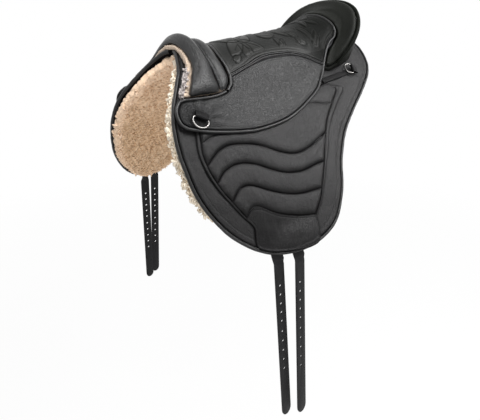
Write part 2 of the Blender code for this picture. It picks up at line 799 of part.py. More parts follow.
def on_leather(line, side=1):
    """Points for a tube along the edge of the seat's leather"""
    return [lay(y, s * side, seat_rise(y, s) - COVER / 2) for y, s in line]


def leather_over(y, s, u, v):
    return seat_rise(y, s)


def leather_under(y, s, u, v):
    return seat_rise(y, s) - COVER


def foam_over(y, s, u, v):
    """Under the leather, and lower still at the rim, where the piping passes"""
    at_rim = u > 0.99 or abs(v - 0.5) > 0.49
    return seat_rise(y, s) - COVER - FOAM_GAP - (FOAM_EDGE if at_rim else 0.0)


def make_seat(collection):
    welt = SEAT_WELT_RADIUS + EDGE_GAP
    front, rear, seam = seat_edges()
    side = offset(seam, -welt)
    side[0] = step_along(front, SEAT_ROWS, -1, welt)
    side[-1] = step_along(rear, SEAM_END, -1, welt)
    side += list(reversed(rear[SEAT_ROWS:SEAM_END]))
    off_side = [Vector((point.x, -point.y)) for point in side]
    grid = patch(off_side, side, both_sides(front[:SEAT_ROWS] + [side[0]]),
                 both_sides(rear[:SEAT_ROWS + 1]))
    layer("seat_tooled_centre", "tooled", grid, leather_under, leather_over, collection)
    seam[0] = step_along(seam, 0, 1, 2 * EDGE_GAP)
    seam[-1] = step_along(seam, -1, -1, 2 * EDGE_GAP)
    for side_name, sign in SIDES.items():
        tube("seat_welt_" + side_name, "leather", on_leather(seam, sign), SEAT_WELT_RADIUS,
             collection)
    front, rear = seat_outlines()
    line = both_sides(offset(front, -PIPING_RADIUS))
    tube("seat_piping_front", "leather", on_leather(line), PIPING_RADIUS, collection)
    line = both_sides(offset(rear, PIPING_RADIUS))
    tube("seat_piping_rear", "leather", on_leather(line), PIPING_RADIUS, collection)
    make_foam(rear, collection)


def foam_under(y, s, u, v):
    if abs(y - STIRRUP_RING[0]) < STIRRUP_WEB_WIDTH / 2 + 0.0015:
        return ON_ARCH + STIRRUP_WEB + ARCH_GAP
    return ON_ARCH


def make_foam(rear, collection):
    """Seat foam, with a channel underneath for the stirrup webbing"""
    half = STIRRUP_WEB_WIDTH / 2
    web = STIRRUP_RING[0]
    places = [SEAT_FRONT[0][0] + FOAM_SETBACK, web - half - 0.002, web - half - 0.001,
              web + half + 0.001, web + half + 0.002, -0.010, 0.030, 0.062, 0.088, 0.110]
    stations = [(y, FOAM_SIDE) for y in places]
    waist = rear[SEAT_ROWS + 1:SEAT_ROWS + TONGUE_COLUMNS + 1]
    stations += [(point.x, point.y) for point in reversed(waist)]
    grid = []
    for y, reach in stations:
        grid.append([Vector((y, reach * (row / SEAT_ROWS - 1))) for row in range(2 * SEAT_ROWS + 1)])
    grid.append(both_sides(rear[:SEAT_ROWS + 1]))
    layer("seat_foam", "foam", grid, foam_under, foam_over, collection)


def make_jockey(side_name, collection):
    side = SIDES[side_name]
    welt = SEAT_WELT_RADIUS + EDGE_GAP
    front, rear, seam = seat_edges()
    fold = smooth_line(FOLD_LINE, 60)
    above = offset(fold, -SEAM_GAP / 2)
    front_end = crossing(above, front)
    rear_end = crossing(above, rear)
    upper = offset(seam, welt)
    upper[0] = step_along(front, SEAT_ROWS, 1, welt)
    upper[-1] = step_along(rear, SEAM_END, 1, welt)
    lower = even_line(stretch(above, front_end, rear_end), SEAM_COLUMNS)
    first = [upper[0]] + front[SEAT_ROWS + 1:-1] + [lower[0]]
    last = [upper[-1]] + rear[SEAM_END + 1:-1] + [lower[-1]]
    layer("jockey_" + side_name, "leather", patch(upper, lower, first, last), leather_under,
          leather_over, collection, side)

    outline = smooth_line(SKIRT_TOP, SKIRT_TOP_COLUMNS) + smooth_line(SKIRT_TIP, SKIRT_ROWS)[1:]
    outline += smooth_line(SKIRT_EDGE, SKIRT_TOP_COLUMNS + SEAM_COLUMNS)[1:]
    edge = offset(outline, -LEATHER_MARGIN)
    below = offset(fold, SEAM_GAP / 2)
    start = crossing(below, edge[:SKIRT_TOP_COLUMNS])
    tail = crossing(below, edge[SKIRT_TOP_COLUMNS + SKIRT_ROWS:]).x - SKIRT_TAIL
    corner = SKIRT_TOP_COLUMNS + SKIRT_ROWS
    upper = list(reversed(edge[1:SKIRT_TOP_COLUMNS + 1]))
    folded = [point for point in stretch(below, start, below[-1]) if point.x < tail]
    upper += even_line(folded, SEAM_COLUMNS)
    lower = [point for point in edge[corner:] if point.x < tail]
    lower = lower + [border_at(edge[corner:], tail)]
    lower = even_line(lower, SKIRT_TOP_COLUMNS + SEAM_COLUMNS)
    first = edge[SKIRT_TOP_COLUMNS:corner + 1]
    last = even_line([upper[-1], lower[-1]], SKIRT_ROWS)
    skirt = layer("jockey_skirt_" + side_name, "leather", patch(upper, lower, first, last),
                  leather_under, leather_over, collection, side)
    line = offset(outline, -PIPING_RADIUS)
    line[0] = step_along(line, 0, 1, 4 * GAP)
    line[-1] = step_along(line, -1, -1, 4 * GAP)
    piping = tube("jockey_piping_" + side_name, "leather", on_leather(line, side),
                  PIPING_RADIUS, collection)
    hinge = lay(SKIRT_AXIS[0][0], SKIRT_AXIS[0][1] * side, SKIRT_AXIS_RISE)
    for item in (skirt, piping):
        move_origin(item, hinge)


# Cantle

def rim_point(angle):
    """A point of the tilted oval rim; 0 is its top and positive angles go to the near side"""
    tilt = math.radians(RIM_TILT)
    power = 2 / RIM_SQUARENESS
    across = math.copysign(abs(math.sin(angle)) ** power, math.sin(angle))
    up = math.copysign(abs(math.cos(angle)) ** power, math.cos(angle))
    down = RIM_HALF_HEIGHT * (1 - up)
    return Vector((RIM_HALF_WIDTH * across, RIM_TOP[0] - down * math.cos(tilt),
                   RIM_TOP[1] - down * math.sin(tilt)))


def cantle_frames():
    """Foot on the back, inner point, run to the rim, width and upward direction in turn"""
    _, rear = seat_outlines()
    inner = both_sides(offset(rear, -PAD_CLEARANCE)[:SEAM_END + 1])
    lean = math.radians(PAD_LEAN)
    reach = math.radians(RIM_END_ANGLE)
    frames = []
    for index, (y, s) in enumerate(inner):
        angle = reach * (2 * index / (len(inner) - 1) - 1)
        start = lay(y, s, seat_rise(y, s) - COVER / 2)
        base = lay(y, s, FLAP_TOP + CANTLE_GAP)
        run = rim_point(angle) - start
        width = run.length - 2 * PIPING_RADIUS - EDGE_GAP
        run = run.normalized()
        up = Vector((PAD_SPREAD * math.sin(angle), -math.sin(lean), math.cos(lean)))
        up = (up - run * up.dot(run)).normalized()
        frames.append((base, start, run, width, up))
    return frames


def make_cantle(collection):
    frames = cantle_frames()
    foot = even_line(both_sides(smooth_line(CANTLE_FOOT, 60)), len(frames) - 1)
    pads, blocks, edges = [], [], []
    for (base, start, run, width, up), (foot_y, foot_s) in zip(frames, foot):
        dish = PAD_DISH * min(1.0, width / 0.04)
        thick = min(PAD, (start - base).length * PAD_SHARE)

        def at(share, height):
            return start + run * (width * share) + up * height

        pads.append([at(0.0, 0.0), at(0.30, -dish), at(0.65, -dish * 0.7), at(0.90, 0.002),
                     at(1.0, -thick * 0.2), at(1.0, -thick), at(0.50, -thick - dish * 0.6),
                     at(0.0, -thick * 0.8)])
        sole = lay(foot_y, foot_s, FLAP_TOP + CANTLE_GAP)
        edge = at(1.0, -max(thick + ARCH_GAP, thick / 2 + PIPING_RADIUS + RIM_GAP))
        out = (run + up * 0.2).normalized()
        bulge = CANTLE_BULGE * thick / PAD
        blocks.append([at(0.0, -thick * 0.8 - ARCH_GAP),
                       at(0.50, -thick - dish * 0.6 - ARCH_GAP), edge,
                       edge.lerp(sole, 0.30) + out * bulge * 0.7,
                       edge.lerp(sole, 0.65) + out * bulge * 0.5, sole, base])
        edges.append((at(1.0, -thick / 2), run))
    rim = []
    for index, (point, run) in enumerate(edges):
        ahead = edges[min(len(edges) - 1, index + 1)][0] - edges[max(0, index - 1)][0]
        ahead = ahead.normalized()
        out = (run - ahead * run.dot(ahead)).normalized()
        rim.append(point + out * (PIPING_RADIUS + RIM_GAP))
    rim[0] = step_along(rim, 0, 1, RIM_TRIM)
    rim[-1] = step_along(rim, -1, -1, RIM_TRIM)
    loft("cantle_pad", "leather", pads, collection)
    loft("cantle_block", "leather", blocks, collection)
    tube("cantle_piping", "leather", rim, PIPING_RADIUS, collection)


# Rings, keepers and the stirrup webbing

def leather_frame(y, s, side, surface):
    """Frame on a layer: X rearwards, Y up the side, Z outwards, on the near side"""
    ahead = lay(y + 0.002, s * side, surface) - lay(y - 0.002, s * side, surface)
    up = lay(y, (s - 0.002) * side, surface) - lay(y, (s + 0.002) * side, surface)
    up = up.normalized()
    out = (ahead * side).cross(up).normalized()
    return Matrix.Translation(lay(y, s * side, surface)) @ Matrix(
        (up.cross(out), up, out)).transposed().to_4x4()


def ring_frame(place, turn, side, surface):
    """Frame of a ring's bar: X along it, Y towards its keeper, Z out of the leather"""
    frame = leather_frame(*place, side, surface)
    lift = Matrix.Translation((0, 0, KEEPER_SEAT + KEEPER_WALL + KEEPER_HOLE))
    return frame @ Matrix.Rotation(math.radians(-turn * side), 4, "Z") @ lift


def make_ring(name, frame, collection):
    """A D of wire whose bow leans back until it almost lies on the leather"""
    half = RING_WIDTH / 2 + RING_WIRE
    height = KEEPER_SEAT + KEEPER_WALL + KEEPER_HOLE - RING_WIRE - GAP
    rest = math.asin(height / RING_REACH)
    bow = [(half * math.cos(angle), -0.35 * RING_REACH + 0.65 * RING_REACH * math.sin(angle))
           for angle in (-math.pi * step / 10 for step in range(11))]
    path = [(half * 0.9, 0.0)] + bow + [(-half * 0.9, 0.0)]
    tilted = frame @ Matrix.Rotation(rest, 4, "X")
    ring = tube(name, "steel", [tilted @ Vector((x, y, 0.0)) for x, y in path], RING_WIRE,
                collection, closed=True)
    move_origin(ring, frame.translation)
    return ring


def make_keeper(name, frame, collection):
    """A strip of leather folded round the bar and sewn down beside it"""
    outer = KEEPER_HOLE + KEEPER_WALL
    profile = [(KEEPER_LENGTH, -outer), (KEEPER_LENGTH, -outer + 2 * KEEPER_WALL)]
    profile += [(outer * math.sin(angle), outer * math.cos(angle))
                for angle in (math.pi * (0.25 - 0.25 * step) for step in range(6))]
    across = Matrix(((0, 0, 1), (1, 0, 0), (0, 1, 0))).to_4x4()
    width = RING_WIDTH - 2 * KEEPER_END_GAP
    keeper = plate(name, "leather", [profile, circle(KEEPER_HOLE, 8)], width, frame @ across,
                   collection)
    return keeper


def make_rings(side_name, collection):
    side = SIDES[side_name]
    frame = ring_frame(FRONT_RING, FRONT_RING_TURN, side, seat_rise(*FRONT_RING))
    make_ring("front_ring_" + side_name, frame, collection)
    make_keeper("front_keeper_" + side_name, frame, collection)
    start, end = Vector(REAR_STRAP_START), Vector(REAR_RING)
    line = offset([start, end], REAR_STRAP_WIDTH / 2)
    other = offset([start, end], -REAR_STRAP_WIDTH / 2)
    grid = patch(even_line(other, 3), even_line(line, 3), [other[0], line[0]],
                 [other[-1], line[-1]])
    layer("rear_strap_" + side_name, "leather", grid, flat(ON_FLAP), flat(ON_FLAP + REAR_STRAP),
          collection, side)
    frame = ring_frame(REAR_RING, REAR_RING_TURN, side, ON_FLAP + REAR_STRAP)
    make_ring("rear_ring_" + side_name, frame, collection)
    make_keeper("rear_keeper_" + side_name, frame, collection)


def make_stirrup_carrier(collection):
    """Webbing over the back under the foam, with a slotted ring at each end"""
    y, reach = STIRRUP_RING
    half = STIRRUP_WEB_WIDTH / 2
    web_end = reach + STIRRUP_BAR + STIRRUP_TAB
    rows = [-web_end, -web_end + STIRRUP_TAB - 0.001]
    rows += [reach * step / 8 for step in range(-8, 9)]
    rows += [web_end - STIRRUP_TAB + 0.001, web_end]

    def under(y, s, u, v):
        turned_up = abs(s) > reach + STIRRUP_BAR + 0.002
        return ON_ARCH + (STIRRUP_WEB * 0.8 if turned_up else 0.0)

    def over(y, s, u, v):
        return under(y, s, u, v) + STIRRUP_WEB

    grid = [[Vector((y + across * half, row)) for row in rows] for across in (-1, 1)]
    layer("stirrup_web", "webbing", grid, under, over, collection)
    rise = ON_ARCH + STIRRUP_WEB + GAP + STIRRUP_RING_THICK / 2
    slot = Vector(STIRRUP_SLOT) / 2
    rim = slot + Vector((STIRRUP_BAR, STIRRUP_BAR))
    outlines = [[(x * size.x, z * size.y) for x, z in ((-1, -1), (1, -1), (1, 1), (-1, 1))]
                for size in (rim, slot)]
    for side_name, side in SIDES.items():
        frame = leather_frame(y, reach + STIRRUP_BAR + slot.y, side, rise)
        plate("stirrup_ring_" + side_name, "steel", outlines, STIRRUP_RING_THICK, frame,
              collection)


def main():
    clear_scene()
    parts = new_collection(NAME)
    cutters = new_collection(NAME + "_cutters")
    for side_name in SIDES:
        make_panels(side_name, parts, cutters)
        make_quilt(side_name, parts)
        make_guard(side_name, parts)
        for end_name in STRAP_PLACES:
            make_strap(side_name, end_name, parts)
        make_jockey(side_name, parts)
        make_rings(side_name, parts)
    make_pommel(parts)
    make_seat(parts)
    make_stirrup_carrier(parts)
    make_cantle(parts)


main()
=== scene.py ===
# Treeless riding saddle: leather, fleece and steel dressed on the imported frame.
# Metres, +Z up, pommel towards -Y, the horse's left (near) side at +X.
import math
import bpy
import numpy as np
from mathutils import Matrix, Vector


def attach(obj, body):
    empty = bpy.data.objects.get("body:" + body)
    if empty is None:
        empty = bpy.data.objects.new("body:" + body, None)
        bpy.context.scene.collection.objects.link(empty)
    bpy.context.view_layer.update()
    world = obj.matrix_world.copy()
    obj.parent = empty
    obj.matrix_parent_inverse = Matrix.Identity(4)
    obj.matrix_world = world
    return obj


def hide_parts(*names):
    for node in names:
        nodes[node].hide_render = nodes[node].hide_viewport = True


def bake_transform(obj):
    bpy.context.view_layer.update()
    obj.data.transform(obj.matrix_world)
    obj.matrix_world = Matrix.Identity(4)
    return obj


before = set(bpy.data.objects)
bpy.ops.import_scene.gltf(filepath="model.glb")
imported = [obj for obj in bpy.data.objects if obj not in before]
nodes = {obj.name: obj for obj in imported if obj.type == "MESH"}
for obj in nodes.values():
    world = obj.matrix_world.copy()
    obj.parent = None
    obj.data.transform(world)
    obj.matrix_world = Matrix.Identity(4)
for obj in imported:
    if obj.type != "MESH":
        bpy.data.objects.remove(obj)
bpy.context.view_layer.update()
sides = {"near": 1, "off": -1}


# The horse's back, which every layer lies on
back = {
    "stations": (-0.250, 0.000, 0.290),
    "spineHeight": (0.017, 0.000, 0.026),
    "spineRadius": (0.056, 0.073, 0.110),
    "shoulderAngle": (53.0, 42.0, 30.0),
    "sideCurve": (1 / 0.880, 1 / 1.575, 1 / 0.800),
    "ridge": 0.0075, "ridgeStart": -0.1415, "ridgeRun": 0.0405, "ridgeReach": 0.040,
    "seatCentre": ((-0.112, 0.050), (-0.052, 0.058), (0.000, 0.065), (0.051, 0.071),
                   (0.100, 0.079), (0.150, 0.093), (0.187, 0.108), (0.251, 0.140)),
    "seatSpread": ((-0.115, 0.170), (0.010, 0.140), (0.120, 0.108), (0.250, 0.118)),
    "skirtRise": 0.034, "flapUnder": 0.0188, "flapTop": 0.0250,
}


def clamp(value, low=0, high=1):
    return np.clip(value, low, high)


def fade(value, zero, one):  # 0 up to one value, 1 past the other
    return clamp((value - zero) / (one - zero))


def bell(distance, width):  # 1 at 0, and falling off on both sides
    return np.exp(-(distance / width) ** 2)


def sewnRow(edge, place, width, depth):  # how far a row of stitches draws the leather in
    return depth * bell(edge - place, width)


def unit(vectors):
    return vectors / np.linalg.norm(vectors, axis=-1, keepdims=True)


def alongBack(values, y):  # a parabola through the stations
    a, b, c = back["stations"]
    return (values[0] * (y - b) * (y - c) / ((a - b) * (a - c))
            + values[1] * (y - a) * (y - c) / ((b - a) * (b - c))
            + values[2] * (y - a) * (y - b) / ((c - a) * (c - b)))


def backShape(y):
    return (alongBack(back["spineHeight"], y), alongBack(back["spineRadius"], y),
            np.radians(alongBack(back["shoulderAngle"], y)), 1 / alongBack(back["sideCurve"], y))


def ridge(y, s):  # the point of the arch over the withers
    ahead = clamp((back["ridgeStart"] - y) / back["ridgeRun"])
    share = np.minimum(1, np.abs(s) / back["ridgeReach"])
    return back["ridge"] * ahead * np.cos(share * np.pi / 2) ** 2


def lay(y, s, rise):  # y along the spine, s down the side, rise above the back
    y, s, rise = np.broadcast_arrays(np.asarray(y, dtype=float), s, rise)
    top, radius, shoulder, wide = backShape(y)
    reach = np.abs(s)
    narrow = reach < radius * shoulder
    angle = np.where(narrow, reach / radius, shoulder + (reach - radius * shoulder) / wide)
    x = np.where(narrow, radius * np.sin(angle),
                 radius * np.sin(shoulder) + wide * (np.sin(angle) - np.sin(shoulder)))
    z = np.where(narrow, top - radius * (1 - np.cos(angle)),
                 top - radius * (1 - np.cos(shoulder)) - wide * (np.cos(shoulder) - np.cos(angle)))
    rise = rise + ridge(y, s)
    return np.stack([np.copysign(x + rise * np.sin(angle), s), y, z + rise * np.cos(angle)], -1)


def layLine(line, side, rise):  # the same for rows of y and s
    return lay(line[:, 0], line[:, 1] * side, rise)


def unlay(places):  # backwards: y, s and rise of points
    x, y, z = np.abs(places[:, 0]), places[:, 1], places[:, 2]
    top, radius, shoulder, wide = backShape(y)
    angle = np.arctan2(x, z - top + radius)
    across = x - (radius - wide) * np.sin(shoulder)
    height = z - (top - radius + (radius - wide) * np.cos(shoulder))
    wideAngle = np.arctan2(across, height)
    narrow = angle < shoulder
    s = np.where(narrow, angle * radius, radius * shoulder + (wideAngle - shoulder) * wide)
    rise = np.where(narrow, np.hypot(x, z - top + radius) - radius,
                    np.hypot(across, height) - wide)
    return y.copy(), np.copysign(s, places[:, 0]), rise - ridge(y, s)


def readTable(table, place):
    return np.interp(place, [row[0] for row in table], [row[1] for row in table])


def seatRise(y, s):
    crest = readTable(back["seatCentre"], y) - alongBack(back["spineHeight"], y)
    share = np.minimum(1, np.abs(s) / readTable(back["seatSpread"], y))
    return back["skirtRise"] + (crest - back["skirtRise"]) * np.cos(share * np.pi / 2) ** 2


def noise(places, size, seed, waves=14, calm=4.2):  # smooth and repeatable, about -1 to 1
    rng = np.random.default_rng(seed)
    total = np.zeros(len(places))
    for wave in range(waves):
        direction = rng.normal(size=3)
        direction *= (0.6 + 0.9 * rng.random()) * 2 * np.pi / size / np.linalg.norm(direction)
        total += np.sin(places @ direction + rng.random() * 2 * np.pi)
    return total / calm


def ripples(places, *layers):  # each has a size, seed and height, and is squeezed along y
    return sum(height * noise(places * (1, squeeze, 1), size, seed)
               for size, seed, height, squeeze in layers)


# Lines on the back, as rows of y and s
def evenLine(line, pieces):
    line = np.asarray(line, dtype=float)
    reached = np.concatenate([[0], np.cumsum(np.linalg.norm(np.diff(line, axis=0), axis=1))])
    wanted = np.linspace(0, reached[-1], pieces + 1)
    return np.stack([np.interp(wanted, reached, line[:, k]) for k in range(line.shape[1])], 1)


def smoothLine(points, pieces, fineness=24):
    knots = np.asarray(points, dtype=float)
    knots = np.vstack([2 * knots[0] - knots[1], knots, 2 * knots[-1] - knots[-2]])
    fine = []
    for a, b, c, d in zip(knots, knots[1:], knots[2:], knots[3:]):
        for t in np.linspace(0, 1, fineness, endpoint=False):
            fine.append(0.5 * (2 * b + (c - a) * t + (2 * a - 5 * b + 4 * c - d) * t ** 2
                               + (3 * b - a - 3 * c + d) * t ** 3))
    fine.append(knots[-2])
    return evenLine(fine, pieces)


def outline(**counts):  # named outlines joined end to end, each in so many pieces
    lines = [smoothLine(outlines[key], count) for key, count in counts.items()]
    return np.vstack(lines[:1] + [line[1:] for line in lines[1:]])


def offsetLine(line, distance):  # to the left as it runs
    run = unit(np.gradient(np.asarray(line, dtype=float), axis=0))
    return line + np.stack([-run[:, 1], run[:, 0]], 1) * distance


def nearest(line, place):
    return int(np.argmin(np.linalg.norm(line - np.asarray(place), axis=1)))


def stepAlong(line, index, step, distance):
    return line[index] + unit(line[index + 3 * step] - line[index]) * distance


def bothSides(half):
    return np.vstack([half[:0:-1] * (1, -1), half])


def patch(top, bottom, first, last):  # a grid of places between four edge lines
    u = np.linspace(0, 1, len(top))[:, None, None]
    v = np.linspace(0, 1, len(first))[None, :, None]
    straight = (top[:, None] * (1 - v) + bottom[:, None] * v
                + first[None] * (1 - u) + last[None] * u)
    upper, lower = (line[0] * (1 - u) + line[-1] * u for line in (top, bottom))
    return straight - upper * (1 - v) - lower * v


def distanceTo(points, *lines):  # from each point to runs of short straight pieces
    best = np.full(len(points), 1e9)
    for line in lines:
        for a, b in zip(line[:-1], line[1:]):
            run = b - a
            share = clamp((points - a) @ run / max(run @ run, 1e-12))
            apart = points - a - share[:, None] * run
            best = np.minimum(best, np.einsum("ij,ij->i", apart, apart))
    return np.sqrt(best)


def borderOf(grid):
    return np.vstack([grid[:, 0], grid[-1, 1:], grid[-2::-1, -1], grid[0, -2::-1]])


def roundOff(distance, radius):  # how far a rounded edge falls below the face
    gap = radius - np.minimum(distance, radius)
    return radius - np.sqrt(np.maximum(radius ** 2 - gap ** 2, 0))


# Hand tools
def deselectAll():
    for item in list(bpy.context.selected_objects):
        item.select_set(False)


def pick(*pieces):
    deselectAll()
    for item in pieces:
        item.select_set(True)
    bpy.context.view_layer.objects.active = pieces[0]


def addObject(name, data):
    item = bpy.data.objects.new(name, data)
    bpy.context.scene.collection.objects.link(item)
    return item


def joinPieces(*pieces):
    pick(*pieces)
    bpy.ops.object.join()
    return bpy.context.object


def cleanUp(piece, merge=0, quads=False):  # faces outwards
    pick(piece)
    bpy.ops.object.mode_set(mode="EDIT")
    bpy.ops.mesh.select_all(action="SELECT")
    if merge:
        bpy.ops.mesh.remove_doubles(threshold=merge)
    if quads:
        bpy.ops.mesh.tris_convert_to_quads(face_threshold=math.radians(50),
                                           shape_threshold=math.radians(50))
    bpy.ops.mesh.normals_make_consistent(inside=False)
    bpy.ops.object.mode_set(mode="OBJECT")


def cut(piece, place, direction, **settings):
    pick(piece)
    bpy.ops.object.mode_set(mode="EDIT")
    bpy.ops.mesh.select_all(action="SELECT")
    bpy.ops.mesh.bisect(plane_co=place, plane_no=direction, **settings)
    bpy.ops.object.mode_set(mode="OBJECT")


def copyNode(name, nodeName):
    piece = addObject(name, nodes[nodeName].data.copy())
    piece.data.materials.clear()
    pick(piece)
    bpy.ops.mesh.customdata_custom_splitnormals_clear()
    cleanUp(piece, 0.00002, quads=True)
    return piece


def modify(piece, kind, **settings):  # a modifier, applied
    modifier = piece.modifiers.new(kind.lower(), kind)
    for key, value in settings.items():
        setattr(modifier, key, value)
    pick(piece)
    bpy.ops.object.modifier_apply(modifier=modifier.name)


def roundEdges(piece, width, segments=2, angle=35):
    modify(piece, "BEVEL", width=width, segments=segments, angle_limit=math.radians(angle),
           limit_method="ANGLE")


def subdivide(piece, levels):
    modify(piece, "SUBSURF", levels=levels, render_levels=levels)


def remesh(piece, voxel, smoothing):
    modify(piece, "REMESH", mode="VOXEL", voxel_size=voxel)
    modify(piece, "SMOOTH", factor=0.5, iterations=smoothing)


def coordinates(piece):
    flat = np.empty(len(piece.data.vertices) * 3)
    piece.data.vertices.foreach_get("co", flat)
    return flat.reshape(-1, 3)


def vertexNormals(piece):
    flat = np.empty(len(piece.data.vertices) * 3)
    piece.data.vertex_normals.foreach_get("vector", flat)
    return flat.reshape(-1, 3)


def moveTo(piece, places):
    piece.data.vertices.foreach_set("co", np.asarray(places, dtype=float).ravel())
    piece.data.update()


def pushOut(piece, amounts):
    moveTo(piece, coordinates(piece) + vertexNormals(piece) * np.asarray(amounts)[:, None])


def paint(piece, name, values):  # one value, or one for each vertex
    layer = piece.data.attributes.new(name, "FLOAT", "POINT")
    values = np.broadcast_to(np.asarray(values, dtype=np.float32), len(piece.data.vertices))
    layer.data.foreach_set("value", np.ascontiguousarray(values))


def makeFace(name, grid, over, side, **shades):  # a fine sheet laid on the back, face up
    shape = grid.shape[:2]
    deselectAll()
    bpy.ops.mesh.primitive_grid_add(x_subdivisions=shape[0] - 1, y_subdivisions=shape[1] - 1,
                                    size=2)
    piece = bpy.context.object
    piece.name = name
    flat = (coordinates(piece)[:, :2] + 1) / 2 * (shape[0] - 1, shape[1] - 1)
    i, j = np.rint(flat).astype(int).T
    moveTo(piece, lay(grid[i, j, 0], grid[i, j, 1] * side, over.reshape(shape)[i, j]))
    for key, values in shades.items():
        paint(piece, key, values.reshape(shape)[i, j])
    return piece


def thicken(piece, under):  # closes a sheet; under gives its lower face from y, s and rise
    count = len(piece.data.vertices)
    modify(piece, "SOLIDIFY", thickness=0.001, offset=-1)
    places = coordinates(piece)
    y, s, rise = unlay(places[:count])
    places[count:] = lay(y, s, under(y, s, rise))
    moveTo(piece, places)
    cleanUp(piece)


def makeCord(name, points, radius, roundness):
    curve = bpy.data.curves.new(name, "CURVE")
    curve.dimensions = "3D"
    curve.bevel_depth = radius
    curve.bevel_resolution = roundness
    curve.use_fill_caps = True
    spline = curve.splines.new("POLY")
    spline.points.add(len(points) - 1)
    spline.points.foreach_set("co", np.hstack([points, np.ones((len(points), 1))]).ravel())
    pick(addObject(name, curve))
    bpy.ops.object.convert(target="MESH")
    piece = bpy.context.object
    cleanUp(piece, 0.00001)
    return piece


def inflate(piece, voxel, cap, pressure, frames=20):  # never thinner than it starts
    shape = addObject("shape", piece.data.copy())
    remesh(piece, voxel, 3)
    start = coordinates(piece).copy()
    cloth = piece.modifiers.new("padding", "CLOTH")
    cloth.settings.use_pressure = True
    cloth.settings.uniform_pressure_force = pressure
    cloth.settings.quality = 5
    cloth.settings.effector_weights.gravity = 0
    cloth.collision_settings.use_collision = False
    for step in range(1, frames + 1):
        bpy.context.scene.frame_set(step)
    pick(piece)
    bpy.ops.object.modifier_apply(modifier=cloth.name)
    bpy.context.scene.frame_set(1)
    move = coordinates(piece) - start
    reach = np.linalg.norm(move, axis=1)
    move *= (cap * np.tanh(reach / cap) / np.maximum(reach, 1e-9))[:, None]
    moveTo(piece, start + move)
    subdivide(piece, 1)
    modify(piece, "SHRINKWRAP", target=shape, wrap_mode="OUTSIDE")
    bpy.data.objects.remove(shape, do_unlink=True)


def dress(piece, material):
    piece.data.materials.clear()
    piece.data.materials.append(materials[material])


def finishPiece(piece, body, material, slot, *replaced, angle=60, fill=0, bend=None):
    dress(piece, material)
    pick(piece)
    bpy.ops.object.shade_smooth_by_angle(angle=math.radians(angle))
    if bend:  # one leather over the joint between the saddle and the body
        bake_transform(piece)
    else:
        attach(piece, body)
    if replaced:
        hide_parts(*replaced)
    return piece


def frameOf(*columns):  # a placement from three axes and a place
    m = np.eye(4)
    m[:3] = np.stack(columns, 1)
    return m


def scatter(name, model, places):  # one modelled shape copied to many places in one mesh
    shape = coordinates(model)
    loops = [tuple(face.vertices) for face in model.data.polygons]
    points = np.concatenate([shape @ m[:3, :3].T + m[:3, 3] for m in places])
    faces = [tuple(v + index * len(shape) for v in face)
             for index in range(len(places)) for face in loops]
    mesh = bpy.data.meshes.new(name)
    mesh.from_pydata(points.tolist(), [], faces)
    return addObject(name, mesh)


# Materials
def connect(node, inputs):  # values or sockets, into inputs by name or number
    for key, value in inputs.items():
        socket = node.inputs[key.replace("_", " ") if isinstance(key, str) else key]
        if isinstance(value, bpy.types.NodeSocket):
            node.id_data.links.new(value, socket)
        else:
            socket.default_value = value
    return node


def addNode(tree, kind, settings=None, **inputs):
    node = tree.nodes.new("ShaderNode" + kind)
    for key, value in (settings or {}).items():
        setattr(node, key, value)
    return connect(node, inputs)


def newMaterial(name):
    material = bpy.data.materials.new(name)
    material.use_nodes = True
    tree = material.node_tree
    place = addNode(tree, "TexCoord").outputs["Object"]
    return material, tree, tree.nodes["Principled BSDF"], place


def mathNode(tree, operation, first, second, clamped=False):
    node = addNode(tree, "Math", {"operation": operation, "use_clamp": clamped})
    return connect(node, {0: first, 1: second}).outputs[0]


def mixColours(tree, share, first, second, blend="MIX"):
    node = addNode(tree, "Mix", {"data_type": "RGBA", "blend_type": blend})
    return connect(node, {0: share, 6: first, 7: second}).outputs[2]


def colourRamp(tree, value, low, high, lowAt=0.35, highAt=0.65):
    ramp = addNode(tree, "ValToRGB", Fac=value)
    elements = ramp.color_ramp.elements
    for index, colour, place in ((0, low, lowAt), (1, high, highAt)):
        elements[index].position = place
        elements[index].color = (*colour, 1)
    return ramp.outputs["Color"]


def rangeOf(tree, value, low, high, fromLow=0.3, fromHigh=0.7):
    return addNode(tree, "MapRange", Value=value, From_Min=fromLow, From_Max=fromHigh,
                   To_Min=low, To_Max=high).outputs["Result"]


def painted(tree, name):
    return addNode(tree, "Attribute", {"attribute_name": name}).outputs["Fac"]


def clouds(tree, place, scale, detail, **more):
    return addNode(tree, "TexNoise", Vector=place, Scale=scale, Detail=detail, **more)


def cells(tree, place, scale):  # the distance from the walls between pebbles
    return addNode(tree, "TexVoronoi", {"feature": "DISTANCE_TO_EDGE"}, Vector=place,
                   Scale=scale).outputs["Distance"]


def bump(tree, height, strength, distance, **under):
    return addNode(tree, "Bump", Height=height, Strength=strength, Distance=distance,
                   **under).outputs["Normal"]


